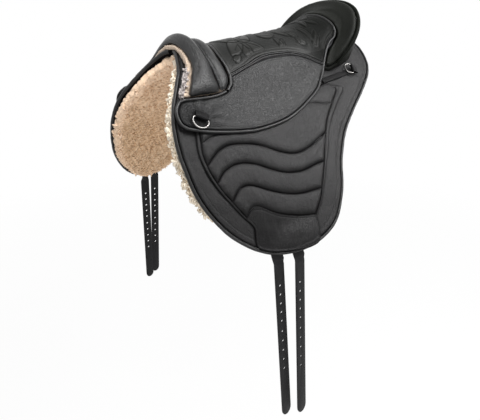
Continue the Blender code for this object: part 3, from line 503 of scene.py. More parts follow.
leathers = {
    "grainLeather": {"dark": (0.0050, 0.0048, 0.0050), "light": (0.0130, 0.0124, 0.0128),
                     "rough": (0.36, 0.46), "gloss": 0.185, "grain": 620, "grainDepth": 0.00034,
                     "crease": 120, "creaseDepth": 0.0012, "crackle": 0.0003},
    "skirtLeather": {"dark": (0.0060, 0.0060, 0.0062), "light": (0.0150, 0.0149, 0.0150),
                     "rough": (0.33, 0.45), "gloss": 0.23, "grain": 380, "grainDepth": 0.00055,
                     "crease": 100, "creaseDepth": 0.0010, "crackle": 0.00045},
    "rollLeather": {"dark": (0.0055, 0.0055, 0.0057), "light": (0.0125, 0.0125, 0.0127),
                    "rough": (0.24, 0.34), "gloss": 0.26, "grain": 800, "grainDepth": 0.00018,
                    "crease": 60, "creaseDepth": 0.0004, "crackle": 0.0},
    "cantleLeather": {"dark": (0.0036, 0.0042, 0.0030), "light": (0.0075, 0.0082, 0.0066),
                      "rough": (0.44, 0.54), "gloss": 0.085, "grain": 800, "grainDepth": 0.00018,
                      "crease": 60, "creaseDepth": 0.0004, "crackle": 0.0},
    "bindingLeather": {"dark": (0.0050, 0.0049, 0.0050), "light": (0.0115, 0.0113, 0.0115),
                       "rough": (0.30, 0.40), "gloss": 0.27, "grain": 900, "grainDepth": 0.00012,
                       "crease": 140, "creaseDepth": 0.0004, "crackle": 0.0},
    "strapLeather": {"dark": (0.0040, 0.0040, 0.0044), "light": (0.0090, 0.0090, 0.0096),
                     "rough": (0.40, 0.54), "gloss": 0.16, "grain": 1000, "grainDepth": 0.00010,
                     "crease": 60, "creaseDepth": 0.0002, "crackle": 0.0},
}


def leatherMaterial(name, values):
    material, tree, shader, place = newMaterial(name)
    broad = clouds(tree, place, 16.0, 5.0, Roughness=0.6).outputs["Fac"]
    fine = clouds(tree, place, 300.0, 3.0).outputs["Fac"]
    crease = clouds(tree, place, values["crease"], 6.0, Roughness=0.68, Distortion=0.8)
    mixed = mathNode(tree, "MULTIPLY", mathNode(tree, "ADD", broad, fine), 0.5)
    # painted shade: the attribute read here darkens the colour and dulls the sheen in grooves,
    # seams and hollows
    cavity = painted(tree, "cavity")
    tone = mathNode(tree, "SUBTRACT", mixed, mathNode(tree, "MULTIPLY", cavity, 0.5), True)
    normal = bump(tree, crease.outputs["Fac"], 0.5, values["creaseDepth"])
    if values["crackle"]:
        warp = clouds(tree, place, 35.0, 2.0)
        bent = connect(addNode(tree, "VectorMath", {"operation": "MULTIPLY_ADD"}),
                       {0: warp.outputs["Color"], 1: (0.03, 0.03, 0.03), 2: place})
        lines = rangeOf(tree, cells(tree, bent.outputs[0], 52.0), 0, 1, 0.0, 0.035)
        lines = mathNode(tree, "MAXIMUM", lines, rangeOf(tree, broad, 0, 1, 0.48, 0.56))
        normal = bump(tree, lines, 0.6, values["crackle"], Normal=normal)
    pebble = rangeOf(tree, cells(tree, place, values["grain"]), 0, 1, 0.0, 0.25)
    connect(shader, {
        "Base Color": colourRamp(tree, tone, values["dark"], values["light"], 0.36, 0.64),
        "Roughness": rangeOf(tree, mixed, *values["rough"]),
        "Specular IOR Level": rangeOf(tree, cavity, values["gloss"], 0.02, 0.0, 1.0),
        "Normal": bump(tree, pebble, 0.6, values["grainDepth"], Normal=normal)})
    return material


tooledLeathers = {
    "tooledLeather": {"dark": (0.0032, 0.0035, 0.0030), "light": (0.0085, 0.0087, 0.0078),
                      "rough": (0.50, 0.36), "gloss": 0.13, "stipple": 560.0,
                      "stippleDepth": 0.0006, "fine": 420.0, "fineDepth": 0.0002},
}


def tooledMaterial(name, values):  # "tooling" is 0 on the matted ground and 1 on petals
    material, tree, shader, place = newMaterial(name)
    tooling, cavity = painted(tree, "tooling"), painted(tree, "cavity")
    stipple = addNode(tree, "TexVoronoi", Vector=place, Scale=values["stipple"])
    fine = clouds(tree, place, values["fine"], 4.0).outputs["Fac"]
    # painted shade: the shade attribute darkens the cut lines and the seat's rear
    tone = mathNode(tree, "SUBTRACT", tooling, cavity, True)
    ground = mathNode(tree, "SUBTRACT", 1.0, tooling, True)
    dots = mathNode(tree, "MULTIPLY", stipple.outputs["Distance"], ground)
    low = bump(tree, dots, 0.7, values["stippleDepth"])
    connect(shader, {
        "Base Color": colourRamp(tree, tone, values["dark"], values["light"], 0, 1),
        "Roughness": rangeOf(tree, tooling, *values["rough"], 0, 1),
        "Specular IOR Level": rangeOf(tree, cavity, values["gloss"], 0.01, 0, 1),
        "Normal": bump(tree, fine, 0.35, values["fineDepth"], Normal=low)})
    return material


# deep is the colour at the roots and in hollows and tip at the curls' ends; the change between
# them is painted shade and light
wools = {
    "fleeceWool": {"deep": (0.40, 0.26, 0.145), "tip": (0.80, 0.59, 0.40),
                   "warm": (0.95, 0.88, 0.80), "pale": (0.93, 0.71, 0.53),
                   "scale": 260.0, "sheen": 0.25},
    "feltWool": {"deep": (0.46, 0.36, 0.27), "tip": (0.66, 0.54, 0.43),
                 "warm": (0.95, 0.92, 0.90), "pale": (0.6, 0.5, 0.43),
                 "scale": 900.0, "sheen": 0.2},
    "fluffWool": {"deep": (0.32, 0.29, 0.28), "tip": (0.58, 0.53, 0.50),
                  "warm": (0.95, 0.94, 0.95), "pale": (0.42, 0.38, 0.37),
                  "scale": 700.0, "sheen": 0.05},
}
# colour painted onto the near fringe to lift it out of the flap's shadow: painted light
bleachedWool = (0.96, 0.88, 0.74)


def woolMaterial(name, values):  # the curls' tip attribute is 1 at their ends: painted light there, painted shade at the roots and in hollows
    material, tree, shader, place = newMaterial(name)
    patches = clouds(tree, place, 14.0, 3.0).outputs["Fac"]
    curl = clouds(tree, place, values["scale"], 5.0, Roughness=0.7, Distortion=1.4).outputs["Fac"]
    total = mathNode(tree, "ADD", mathNode(tree, "MULTIPLY", curl, 0.5),
                     mathNode(tree, "MULTIPLY", painted(tree, "paintedTipLight"), 0.6), True)
    colour = colourRamp(tree, total, values["deep"], values["tip"], 0.15, 0.85)
    # the cream share mixes in the pale colour: painted light along the fleece's rim and by the
    # arch, the fluff's own colour elsewhere
    for share, other, blend in (
            (rangeOf(tree, patches, 0.0, 0.8), values["warm"], "MULTIPLY"),
            (mathNode(tree, "MULTIPLY", painted(tree, "cream"), 0.7), values["pale"], "MIX"),
            (painted(tree, "bleach"), bleachedWool, "MIX")):
        colour = mixColours(tree, share, colour, (*other, 1), blend)
    connect(shader, {"Base Color": colour, "Roughness": 0.95, "Sheen Weight": values["sheen"],
                     "Sheen Roughness": 0.5, "Specular IOR Level": 0.15,
                     "Normal": bump(tree, curl, 0.6, 0.0015)})
    return material


steels = {
    "polishedSteel": {"dark": (0.17, 0.165, 0.16), "light": (0.29, 0.28, 0.27),
                      "rough": (0.20, 0.32), "scratch": 900.0},
}


def steelMaterial(name, values):
    material, tree, shader, place = newMaterial(name)
    scratches = clouds(tree, place, values["scratch"], 3.0).outputs["Fac"]
    connect(shader, {
        "Base Color": colourRamp(tree, scratches, values["dark"], values["light"]),
        "Roughness": rangeOf(tree, scratches, *values["rough"]), "Metallic": 1.0,
        "Normal": bump(tree, scratches, 0.15, 0.0001)})
    return material


weaves = {
    "stirrupWeave": {"dark": (0.012, 0.012, 0.013), "light": (0.035, 0.035, 0.037),
                     "scale": 500.0},
    "seatFoam": {"dark": (0.010, 0.010, 0.011), "light": (0.022, 0.022, 0.024),
                 "scale": 300.0},
    "thread": {"dark": (0.006, 0.006, 0.006), "light": (0.020, 0.020, 0.020),
               "scale": 1500.0},
}


def clothMaterial(name, values):  # a plain weave
    material, tree, shader, place = newMaterial(name)
    warp, weft = (addNode(tree, "TexWave", {"bands_direction": direction}, Vector=place,
                          Scale=values["scale"], Distortion=0.6).outputs["Fac"]
                  for direction in "XY")
    weave = mathNode(tree, "MAXIMUM", warp, weft)
    connect(shader, {"Base Color": colourRamp(tree, weave, values["dark"], values["light"]),
                     "Roughness": 0.85, "Normal": bump(tree, weave, 0.6, 0.0004)})
    return material


materials = {}
for makeMaterial, table in ((leatherMaterial, leathers), (tooledMaterial, tooledLeathers),
                            (woolMaterial, wools), (steelMaterial, steels),
                            (clothMaterial, weaves)):
    for name, values in table.items():
        materials[name] = makeMaterial(name, values)
print("materials ready")


# Outlines of the leather, as places of y and s. Each runs from the spine down or from the
# pommel back. The quilt's lines run from its front border to its rear one, from the top down.
outlines = {
    "flap": ((-0.188, 0.000), (-0.206, 0.035), (-0.225, 0.068), (-0.252, 0.120),
             (-0.263, 0.168), (-0.262, 0.218), (-0.249, 0.277), (-0.212, 0.340),
             (-0.158, 0.383), (-0.092, 0.395), (-0.033, 0.378), (0.010, 0.332), (0.041, 0.281),
             (0.083, 0.235), (0.131, 0.202), (0.195, 0.166), (0.241, 0.138), (0.272, 0.107),
             (0.296, 0.058), (0.306, 0.000)),
    "flapCorners": ((-0.212, 0.340), (-0.020, 0.367)),
    "quiltFront": ((-0.2215, 0.150), (-0.2286, 0.178), (-0.2309, 0.194), (-0.2298, 0.210),
                   (-0.2260, 0.2295), (-0.2190, 0.250), (-0.2110, 0.268), (-0.2030, 0.283),
                   (-0.1940, 0.300), (-0.1866, 0.3135)),
    "ribFront": ((-0.2165, 0.150), (-0.2215, 0.179), (-0.2245, 0.194), (-0.2240, 0.210),
                 (-0.2210, 0.2285), (-0.2150, 0.248), (-0.2074, 0.266), (-0.1992, 0.2815),
                 (-0.1905, 0.2990), (-0.1835, 0.3120)),
    "ribRear": ((0.1270, 0.1365), (0.1240, 0.1430), (0.1146, 0.1500), (0.0942, 0.1650),
                (0.0730, 0.1805), (0.0561, 0.1952), (0.0427, 0.2092), (0.0188, 0.2392),
                (-0.0008, 0.2680), (-0.0157, 0.2890), (-0.0311, 0.3105), (-0.0405, 0.3240),
                (-0.0528, 0.3370), (-0.0635, 0.3472)),
    "quiltRear": ((0.1486, 0.1400), (0.1424, 0.1475), (0.1245, 0.1581), (0.1031, 0.1717),
                  (0.0848, 0.1844), (0.0690, 0.1961), (0.0556, 0.2081), (0.0438, 0.2201),
                  (0.0275, 0.2423), (0.0040, 0.2712), (-0.0144, 0.2955), (-0.0275, 0.3125),
                  (-0.0370, 0.3257), (-0.0495, 0.3385), (-0.0605, 0.3482)),
    "quiltLines": (
        ((-0.2165, 0.150), (-0.150, 0.142), (-0.060, 0.136), (0.020, 0.126), (0.070, 0.117),
         (0.108, 0.1135), (0.1316, 0.1275), (0.1430, 0.1320)),
        ((-0.2180, 0.157), (-0.150, 0.149), (-0.060, 0.143), (0.020, 0.133), (0.070, 0.124),
         (0.1079, 0.1182), (0.1223, 0.1285), (0.1270, 0.1365)),
        ((-0.2215, 0.179), (-0.190, 0.168), (-0.140, 0.162), (-0.080, 0.160), (-0.020, 0.152),
         (0.020, 0.1475), (0.042, 0.1515), (0.060, 0.1574), (0.077, 0.1632), (0.0925, 0.1662)),
        ((-0.2235, 0.2165), (-0.2062, 0.2029), (-0.1944, 0.1953), (-0.1775, 0.1901),
         (-0.1603, 0.190), (-0.1438, 0.1926), (-0.1259, 0.1975), (-0.1089, 0.2052),
         (-0.0946, 0.2144), (-0.0783, 0.2245), (-0.0626, 0.232), (-0.0468, 0.2358),
         (-0.0279, 0.2349), (-0.0065, 0.2308), (0.0149, 0.2243), (0.0342, 0.2185)),
        ((-0.2155, 0.2470), (-0.1989, 0.2321), (-0.1882, 0.2272), (-0.176, 0.2239),
         (-0.1612, 0.2243), (-0.1473, 0.2277), (-0.1341, 0.2332), (-0.1218, 0.2414),
         (-0.1094, 0.2494), (-0.0965, 0.2569), (-0.0829, 0.263), (-0.0679, 0.2669),
         (-0.0519, 0.2694), (-0.0334, 0.2682), (-0.0168, 0.2672), (-0.0008, 0.268)),
        ((-0.1992, 0.2815), (-0.1849, 0.2681), (-0.176, 0.2631), (-0.1649, 0.2624),
         (-0.155, 0.2656), (-0.1443, 0.2717), (-0.1338, 0.2786), (-0.1215, 0.2859),
         (-0.1087, 0.2927), (-0.0955, 0.2986), (-0.0816, 0.3034), (-0.0665, 0.3065),
         (-0.0505, 0.3082), (-0.0311, 0.3105)),
        ((-0.1835, 0.3120), (-0.1741, 0.3028), (-0.1663, 0.2992), (-0.1578, 0.301),
         (-0.1495, 0.3063), (-0.1403, 0.3136), (-0.1308, 0.3203), (-0.1194, 0.3268),
         (-0.1074, 0.3323), (-0.0952, 0.3375), (-0.0826, 0.3419), (-0.0635, 0.3472))),
    "patchFront": ((-0.1866, 0.3139), (-0.1795, 0.3240), (-0.1762, 0.3330), (-0.1774, 0.3424),
                   (-0.1800, 0.3540)),
    "patchFoot": ((-0.1800, 0.3540), (-0.1792, 0.3620), (-0.1735, 0.3695), (-0.1569, 0.3785),
                  (-0.1396, 0.3843), (-0.1217, 0.3893), (-0.1064, 0.3928), (-0.0941, 0.3945),
                  (-0.0814, 0.3940), (-0.0737, 0.3915)),
    "patchRear": ((-0.0605, 0.3486), (-0.0638, 0.3561), (-0.0650, 0.3670), (-0.0700, 0.3827),
                  (-0.0737, 0.3915)),
    "seatFront": ((-0.113, 0.000), (-0.122, 0.018), (-0.126, 0.034), (-0.124, 0.052),
                  (-0.124, 0.070)),
    "jockeyFront": ((-0.124, 0.070), (-0.129, 0.083), (-0.140, 0.094)),
    "seam": ((-0.124, 0.070), (-0.050, 0.050), (0.009, 0.048), (0.063, 0.055), (0.131, 0.082)),
    "tongueEnd": ((0.189, 0.000), (0.192, 0.018), (0.194, 0.034), (0.190, 0.044)),
    "tongueSide": ((0.190, 0.044), (0.178, 0.050), (0.162, 0.053), (0.148, 0.060),
                   (0.131, 0.082)),
    "jockeyRear": ((0.131, 0.082), (0.119, 0.096), (0.098, 0.114)),
    "fold": ((-0.140, 0.094), (-0.120, 0.103), (-0.060, 0.109), (0.030, 0.112), (0.098, 0.114)),
    "skirtTop": ((-0.140, 0.094), (-0.163, 0.100), (-0.191, 0.102), (-0.225, 0.1025),
                 (-0.240, 0.106)),
    "skirtTip": ((-0.240, 0.106), (-0.250, 0.119), (-0.253, 0.133), (-0.250, 0.147),
                 (-0.240, 0.156)),
    "skirtEdge": ((-0.240, 0.156), (-0.201, 0.166), (-0.147, 0.175), (-0.105, 0.179),
                  (-0.045, 0.175), (-0.004, 0.165), (0.035, 0.150), (0.074, 0.132),
                  (0.098, 0.114)),
    "rollSeam": ((-0.154, 0.000), (-0.158, 0.037), (-0.156, 0.060), (-0.157, 0.0960)),
    "liningFront": ((-0.1905, 0.000), (-0.1925, 0.035), (-0.2090, 0.070), (-0.2290, 0.1005)),
    "frontRing": (-0.2115, 0.1395),
    "margin": 0.0061, "piping": 0.0028, "cover": 0.0038, "welt": 0.0026,
}
leatherMargin = outlines["margin"]
flapLine = smoothLine(outlines["flap"], 160)


# Fleece panels
fleece = {"voxel": 0.0024, "curlHeight": 0.0042, "edgePush": 0.0070, "shell": 0.012,
          "lumps": ((0.0120, 1, 0.9, 1), (0.0070, 2, 0.6, 1), (0.0048, 3, 0.3, 1)),
          "front": (-0.10, -0.18), "foot": (0.33, 0.28), "pale": (0.04, 0.10),
          "underFlap": (0.0160, 0.0120), "fringe": (-0.07, -0.13), "fringeFoot": (0.320, 0.290),
          "tufts": 4900, "tuftLength": 0.0036, "tuftWidth": 0.0016,
          "edgeTufts": {"near": 500, "off": 20}, "edgeLength": 0.0088, "edgeWidth": 0.0020,
          "bleach": {"near": 0.85, "off": 0.0}, "under": 0.0165, "seed": 7}
panelMargin = leatherMargin + 0.004


def curlModel():  # one hooked lock of wool, about 1 high
    deselectAll()
    bpy.ops.mesh.primitive_cone_add(vertices=5, radius1=0.5, radius2=0.28, depth=1.0,
                                    location=(0, 0, 0.5))
    model = bpy.context.object
    bpy.ops.object.transform_apply(location=True, rotation=True, scale=True)
    for height in (0.35, 0.7):
        cut(model, (0, 0, height), (0, 0, 1))
    places = coordinates(model)
    turn = places[:, 2] * 2.5
    width = places[:, 0].copy()
    places[:, 0] = 0.40 * (1 - np.cos(turn)) + width * np.cos(turn)
    places[:, 2] = 0.40 * np.sin(turn) - width * np.sin(turn)
    moveTo(model, places)
    return model


def samplePlaces(piece, wanted, weigh, seed):
    rng = np.random.default_rng(seed)
    faces = piece.data.polygons
    count = len(faces)
    area, centre, normal = np.empty(count), np.empty(count * 3), np.empty(count * 3)
    for key, values in (("area", area), ("center", centre), ("normal", normal)):
        faces.foreach_get(key, values)
    centre, normal = centre.reshape(-1, 3), normal.reshape(-1, 3)
    weight = area * weigh(centre, normal)
    chosen = rng.choice(count, size=wanted, p=weight / weight.sum())
    jitter = (rng.random((wanted, 3)) - 0.5) * np.sqrt(area[chosen])[:, None]
    jitter -= normal[chosen] * np.sum(jitter * normal[chosen], axis=1)[:, None]
    return centre[chosen] + jitter, normal[chosen], rng


def tuftFrames(places, directions, length, width, rng, stray):
    frames = []
    for place, direction in zip(places, directions):
        direction = unit(direction + (rng.random(3) - 0.5) * stray)
        other = unit(np.cross(direction, rng.random(3) - 0.5))
        size = length * (0.7 + 0.7 * rng.random())
        wide = width * (0.7 + 0.6 * rng.random())
        frames.append(frameOf(other * size, np.cross(direction, other) * wide, direction * size,
                              place - direction * size * 0.12))
    return np.array(frames)


def makeLocks(name, frames, **shades):
    locks = scatter(name, curl, frames)
    # lighter towards each lock's end: painted light at the tips, painted shade at the roots
    tips = clamp(coordinates(curl)[:, 2] * 1.8)
    paint(locks, "paintedTipLight", np.tile(tips, len(frames)))
    for key, values in shades.items():
        paint(locks, key, np.repeat(values, len(tips)))
    return locks


def panelPlaces(places):  # how far inside the panel's outline, with y, s and rise
    y, s, rise = unlay(places)
    return distanceTo(np.stack([y, np.abs(s)], 1), flapLine) - panelMargin, y, s, rise


def creamOf(rim, s):  # paler along the rim and by the arch: painted light
    return clamp(clamp(1 - rim / fleece["shell"]) * 0.75 + clamp(1 - np.abs(s) / 0.20) * 0.9)


def innerOnly(centre, normal):
    return clamp(1 - unlay(centre)[2] / 0.008, 0.0001)


def rimOnly(centre, normal):
    rim, y, s, rise = panelPlaces(centre)
    front = fade(y, *fleece["fringe"]) * fade(np.abs(s), *fleece["fringeFoot"])
    front *= 0.35 + clamp(noise(centre, 0.03, 8))
    return (rim < 0.004) * front * clamp(np.abs(s) / 0.08, 0.10) * (rise < fleece["under"]) + 1e-8


def makeFleece(sideName):
    piece = copyNode("fleecePile_" + sideName, "fleece_panel_" + sideName)
    remesh(piece, fleece["voxel"], 4)
    places = coordinates(piece)
    rim, y, s, rise = panelPlaces(places)
    edge = clamp(1 - rim / fleece["shell"])
    shown = np.maximum(clamp(1 - rise / fleece["shell"]), edge)
    lumps = np.tanh(ripples(places, *fleece["lumps"]))
    front = fade(y, *fleece["front"]) * fade(np.abs(s), *fleece["foot"])
    up = unit(lay(y, s, rise + 0.01) - lay(y, s, rise))
    wall = clamp(1.5 - 1.5 * np.abs(np.sum(up * vertexNormals(piece), axis=1)), 0.15)
    push = shown * fleece["curlHeight"] * (lumps * 0.5 + 0.05)
    push += (edge * fleece["edgePush"] * front * fade(np.abs(s), 0, 0.03) * wall
             * fade(rise, *fleece["underFlap"]))
    pushOut(piece, push)
    # lighter on the lumps and darker between them: painted light and shade
    paint(piece, "paintedTipLight", clamp(0.45 + lumps * 0.4))
    paint(piece, "cream", creamOf(rim, s))
    # paler front fringe: painted light against the flap's shadow
    paint(piece, "bleach", clamp(edge * front * fade(s, *fleece["pale"]) * 1.3, 0, 0.85))
    finishPiece(piece, "saddle", "fleeceWool", "fleece", "fleece_panel_" + sideName, angle=180,
                fill=0.5)

    count, edgeCount = fleece["tufts"], fleece["edgeTufts"][sideName]
    spots, directions, rng = samplePlaces(piece, count, innerOnly, fleece["seed"])
    directions = directions * 0.55 + unit(rng.normal(size=directions.shape))
    rim, _, s, _ = panelPlaces(spots)
    inner = tuftFrames(spots, directions, fleece["tuftLength"], fleece["tuftWidth"], rng, 0.2)
    spots, directions, rng = samplePlaces(piece, edgeCount, rimOnly, fleece["seed"] + 1)
    outer = tuftFrames(spots, directions, fleece["edgeLength"], fleece["edgeWidth"], rng, 1.3)
    frames = np.concatenate([inner, outer])
    kept = np.ones(len(frames), dtype=bool)
    for reach in ((0.75, 0, 0.3, 1), (0.4, 0, 0.45, 1)):  # none comes through the flap
        kept &= unlay((frames @ reach)[:, :3])[2] < fleece["under"]
    creams = np.append(creamOf(rim, s), np.ones(edgeCount))
    # painted light only on the near side's edge locks
    bleached = np.repeat((0.0, fleece["bleach"][sideName]), (count, edgeCount))
    locks = makeLocks("fleeceLocks_" + sideName, frames[kept], cream=creams[kept],
                      bleach=bleached[kept])
    finishPiece(locks, "saddle", "fleeceWool", "fleece", angle=180)


curl = curlModel()
for sideName in sides:
    makeFleece(sideName)
print("fleece panels ready")


# Flaps and their rolled binding
flap = {"columns": 150, "rows": 140, "edge": 0.0022, "bindingHeight": 1.45,
        "seam": (0.0093, 0.0009, 0.0005), "bound": (0.0085, 0.0077),
        "ripples": ((0.11, 11, 0.0007, 1), (0.035, 12, 0.00025, 1)),
        "bindingRipples": (0.02, 13, 0.0002, 1)}

loop = outline(flap=400)
frontCorner, rearCorner = (nearest(loop, place) for place in outlines["flapCorners"])
loop = offsetLine(loop, -leatherMargin)
loop[0, 1] = loop[-1, 1] = 0.0006  # the two flaps stay apart at the spine
grid = patch(evenLine(loop[[0, -1]], flap["columns"]),
             evenLine(loop[frontCorner:rearCorner + 1], flap["columns"]),
             evenLine(loop[:frontCorner + 1], flap["rows"]),
             evenLine(loop[:rearCorner - 1:-1], flap["rows"]))

quiltLines = [smoothLine(line, 300) for line in outlines["quiltLines"]]
patchSides = [smoothLine(outlines[key], 120) for key in ("patchFront", "patchFoot", "patchRear")]
quiltBorder = np.vstack([quiltLines[0][::3], outline(quiltRear=400)[::4], patchSides[2],
                         patchSides[1][::-1], patchSides[0][::-1], outline(quiltFront=400)[::-4]])

flatGrid = grid.reshape(-1, 2)
edge = distanceTo(flatGrid, borderOf(grid)[grid.shape[0]:])
quiltDistance = distanceTo(flatGrid, quiltBorder)
sewnIn = bell(quiltDistance, 0.0035) * 0.0007
bound = 0.0005 * fade(edge, *flap["bound"])  # the binding's inner half
# painted shade along the quilt's border and inside the binding
cavity = clamp(0.85 * bell(quiltDistance, 0.0016) + 0.7 * bell(edge - 0.0006, 0.0014))
middle = (back["flapUnder"] + back["flapTop"]) / 2
for sideName, side in sides.items():
    places = layLine(flatGrid, side, back["flapTop"])
    over = (back["flapTop"] - roundOff(edge, flap["edge"]) * 0.8 - sewnIn + bound
            - sewnRow(edge, *flap["seam"]) + ripples(places, *flap["ripples"]))
    piece = makeFace("flapLeather_" + sideName, grid, over, side, cavity=cavity)
    thicken(piece, lambda y, s, rise: back["flapUnder"])
    finishPiece(piece, "saddle", "grainLeather", "leather", "flap_" + sideName)

    line = offsetLine(outline(flap=420), -outlines["piping"])[2:-2]
    piece = makeCord("flapBinding_" + sideName, layLine(line, side, middle), outlines["piping"], 5)
    y, s, rise = unlay(coordinates(piece))
    moveTo(piece, lay(y, s, middle + (rise - middle) * flap["bindingHeight"]))
    pushOut(piece, ripples(coordinates(piece), flap["bindingRipples"]))
    finishPiece(piece, "saddle", "bindingLeather", "leather", "flap_piping_" + sideName, angle=80)
print("flaps ready")


# Wave-quilted inserts and the patches at their foot
quilt = {"bandColumns": 9, "columns": 170, "firstRows": 6, "rowsEach": 18, "rib": 0.0017,
         "crown": 0.0038, "sewn": 0.0002, "clear": 0.0002, "groove": 0.0030, "bulge": 0.0030,
         "patch": 0.0019, "overBinding": 0.0013, "sunk": 0.0010,
         "patchSeam": (0.0042, 0.0008, 0.0004), "climb": (0.0105, 0.0060),
         "wrinkles": ((0.035, 21, 0.0003, 1), (0.022, 22, 0.00016, 2.6)),
         "crumple": ((0.045, 31, 0.0005, 1), (0.026, 33, 0.0004, 2.2))}

borders = [smoothLine(outlines[key], 600) for key in ("quiltFront", "ribFront", "ribRear",
                                                      "quiltRear")]
borderEnds = [[nearest(border, line[0 if index < 2 else -1])
               for index, border in enumerate(borders)] for line in quiltLines]
borderEnds[0], borderEnds[-1] = [0] * 4, [600] * 4
bandShare = np.linspace(0, 1, quilt["bandColumns"] + 1)[:, None]
middleShare = np.linspace(0, 1, quilt["columns"] + 1)[:, None]
rows, downs = [], []
for index in range(len(quiltLines) - 1):
    one, two = (evenLine(quiltLines[index + k], quilt["columns"]) for k in (0, 1))
    count = quilt["rowsEach"] if index else quilt["firstRows"]
    for step in range(count + (index == len(quiltLines) - 2)):
        share = (1 - math.cos(math.pi * step / count)) / 2
        ends = [border[int(round(a + (b - a) * share))]
                for border, a, b in zip(borders, borderEnds[index], borderEnds[index + 1])]
        row = one + (two - one) * share
        row = (row + (ends[1] - row[0]) * (1 - middleShare) ** 5
               + (ends[2] - row[-1]) * middleShare ** 5)
        rows.append(np.vstack([ends[0] + (ends[1] - ends[0]) * bandShare[:-1], row,
                               ends[2] + (ends[3] - ends[2]) * bandShare[1:]]))
        downs.append(index + share)
grid = np.stack(rows, 1)
flatGrid = grid.reshape(-1, 2)
down = np.broadcast_to(np.array(downs)[None], grid.shape[:2])
band = np.concatenate([bandShare[:-1, 0], np.full(quilt["columns"] + 1, -1.0),
                       1 - bandShare[1:, 0]])[:, None] + 0 * down
ribTop = np.where((down < 1) & (band < 0), down, band).ravel()
toLine = np.minimum(distanceTo(flatGrid, borders[1][::4], borders[2][::4], quiltLines[1][::2],
                               *(line[::2] for line in quiltLines[3:])),
                    distanceTo(flatGrid, quiltLines[2][::2]) + 0.0016)
channel = (down - np.floor(down)).ravel()
puff = (1 - np.exp(-toLine / quilt["groove"])) * (0.96 + 0.22 * np.sin(np.pi * channel ** 1.5))
ribShape = np.sqrt(clamp(np.sin(np.pi * clamp(ribTop))))
height = quilt["sewn"] + np.where(ribTop >= 0, quilt["rib"] * ribShape, quilt["crown"] * puff)
# painted shade: a wide band above each wave line, narrow lines in every groove and along the outer
# border
shaded = np.where((channel > 0.5) & (ribTop < 0), 0.55, 0.10) * bell(toLine, 0.0050)
toOuter = distanceTo(flatGrid, borders[0][::4], borders[3][::4])
cavity = clamp(0.95 * bell(toLine, 0.0013) + shaded + 0.6 * bell(toOuter, 0.0012))
for sideName, side in sides.items():
    places = layLine(flatGrid, side, back["flapTop"])
    wrinkles = ripples(places, *quilt["wrinkles"]) * fade(toLine, 0, 0.004)
    over = back["flapTop"] + quilt["clear"] + height + wrinkles
    piece = makeFace("waveQuilt_" + sideName, grid, over, side, cavity=cavity)
    thicken(piece, lambda y, s, rise: back["flapTop"] - quilt["sunk"])
    finishPiece(piece, "saddle", "grainLeather", "leather", "quilted_panel_" + sideName, angle=80,
                fill=0.5)


def liftAt(y, s):  # the patch climbs over the binding at the flap's foot
    near = distanceTo(np.stack([y, np.abs(s)], 1), flapLine)
    share = fade(near, *quilt["climb"])
    beyond = (np.abs(s) > 0.383) & (near < 0.0035)
    return np.where(beyond, 1.0, share ** 2 * (3 - 2 * share)) * quilt["overBinding"]


patchTop = np.vstack([patchSides[0][:1], quiltLines[-1][12:-6] + (0, 0.0005), patchSides[2][:1]])
grid = patch(evenLine(patchTop, 120), evenLine(patchSides[1], 120), evenLine(patchSides[0], 70),
             evenLine(patchSides[2], 70))
flatGrid = grid.reshape(-1, 2)
y, s = flatGrid.T
edge = distanceTo(flatGrid, borderOf(grid)[::2])
bulge = np.exp(-((y + 0.100) / 0.036) ** 2 - ((s - 0.363) / 0.017) ** 2)
# painted shade over the whole patch and at its edge, lighter where it bulges
cavity = clamp(bell(edge, 0.0012) + 0.4 - bulge)
for sideName, side in sides.items():
    places = layLine(flatGrid, side, back["flapTop"])
    crumple = ripples(places, *quilt["crumple"]) + bulge * quilt["bulge"]
    over = (back["flapTop"] + quilt["patch"] + liftAt(y, s) - roundOff(edge, 0.0014)
            + crumple * fade(edge, 0, 0.012) - sewnRow(edge, *quilt["patchSeam"]))
    piece = makeFace("strapPatch_" + sideName, grid, over, side, cavity=cavity)
    thicken(piece, lambda y, s, rise: back["flapTop"] + quilt["clear"] + liftAt(y, s))
    finishPiece(piece, "saddle", "grainLeather", "leather", "billet_guard_" + sideName)
print("quilted inserts ready")


# Girth straps, each sewn root and hanging part in one piece of leather
strap = {"edge": 0.0004, "rootCut": 0.003, "hangCut": 0.008, "bend": 0.010, "thinner": 0.3,
         "narrower": 0.17,
         "hinges": {"front": (0.2515, -0.1460, -0.2957), "rear": (0.2662, -0.1100, -0.2944)},
         "hangs": {"front": (0.0958, 0.0157, -0.9953), "rear": (0.0958, -0.0157, -0.9953)}}


def squeeze(piece, place, direction, share):
    places = coordinates(piece)
    moveTo(piece, places - ((places - place) @ direction)[:, None] * direction * share)


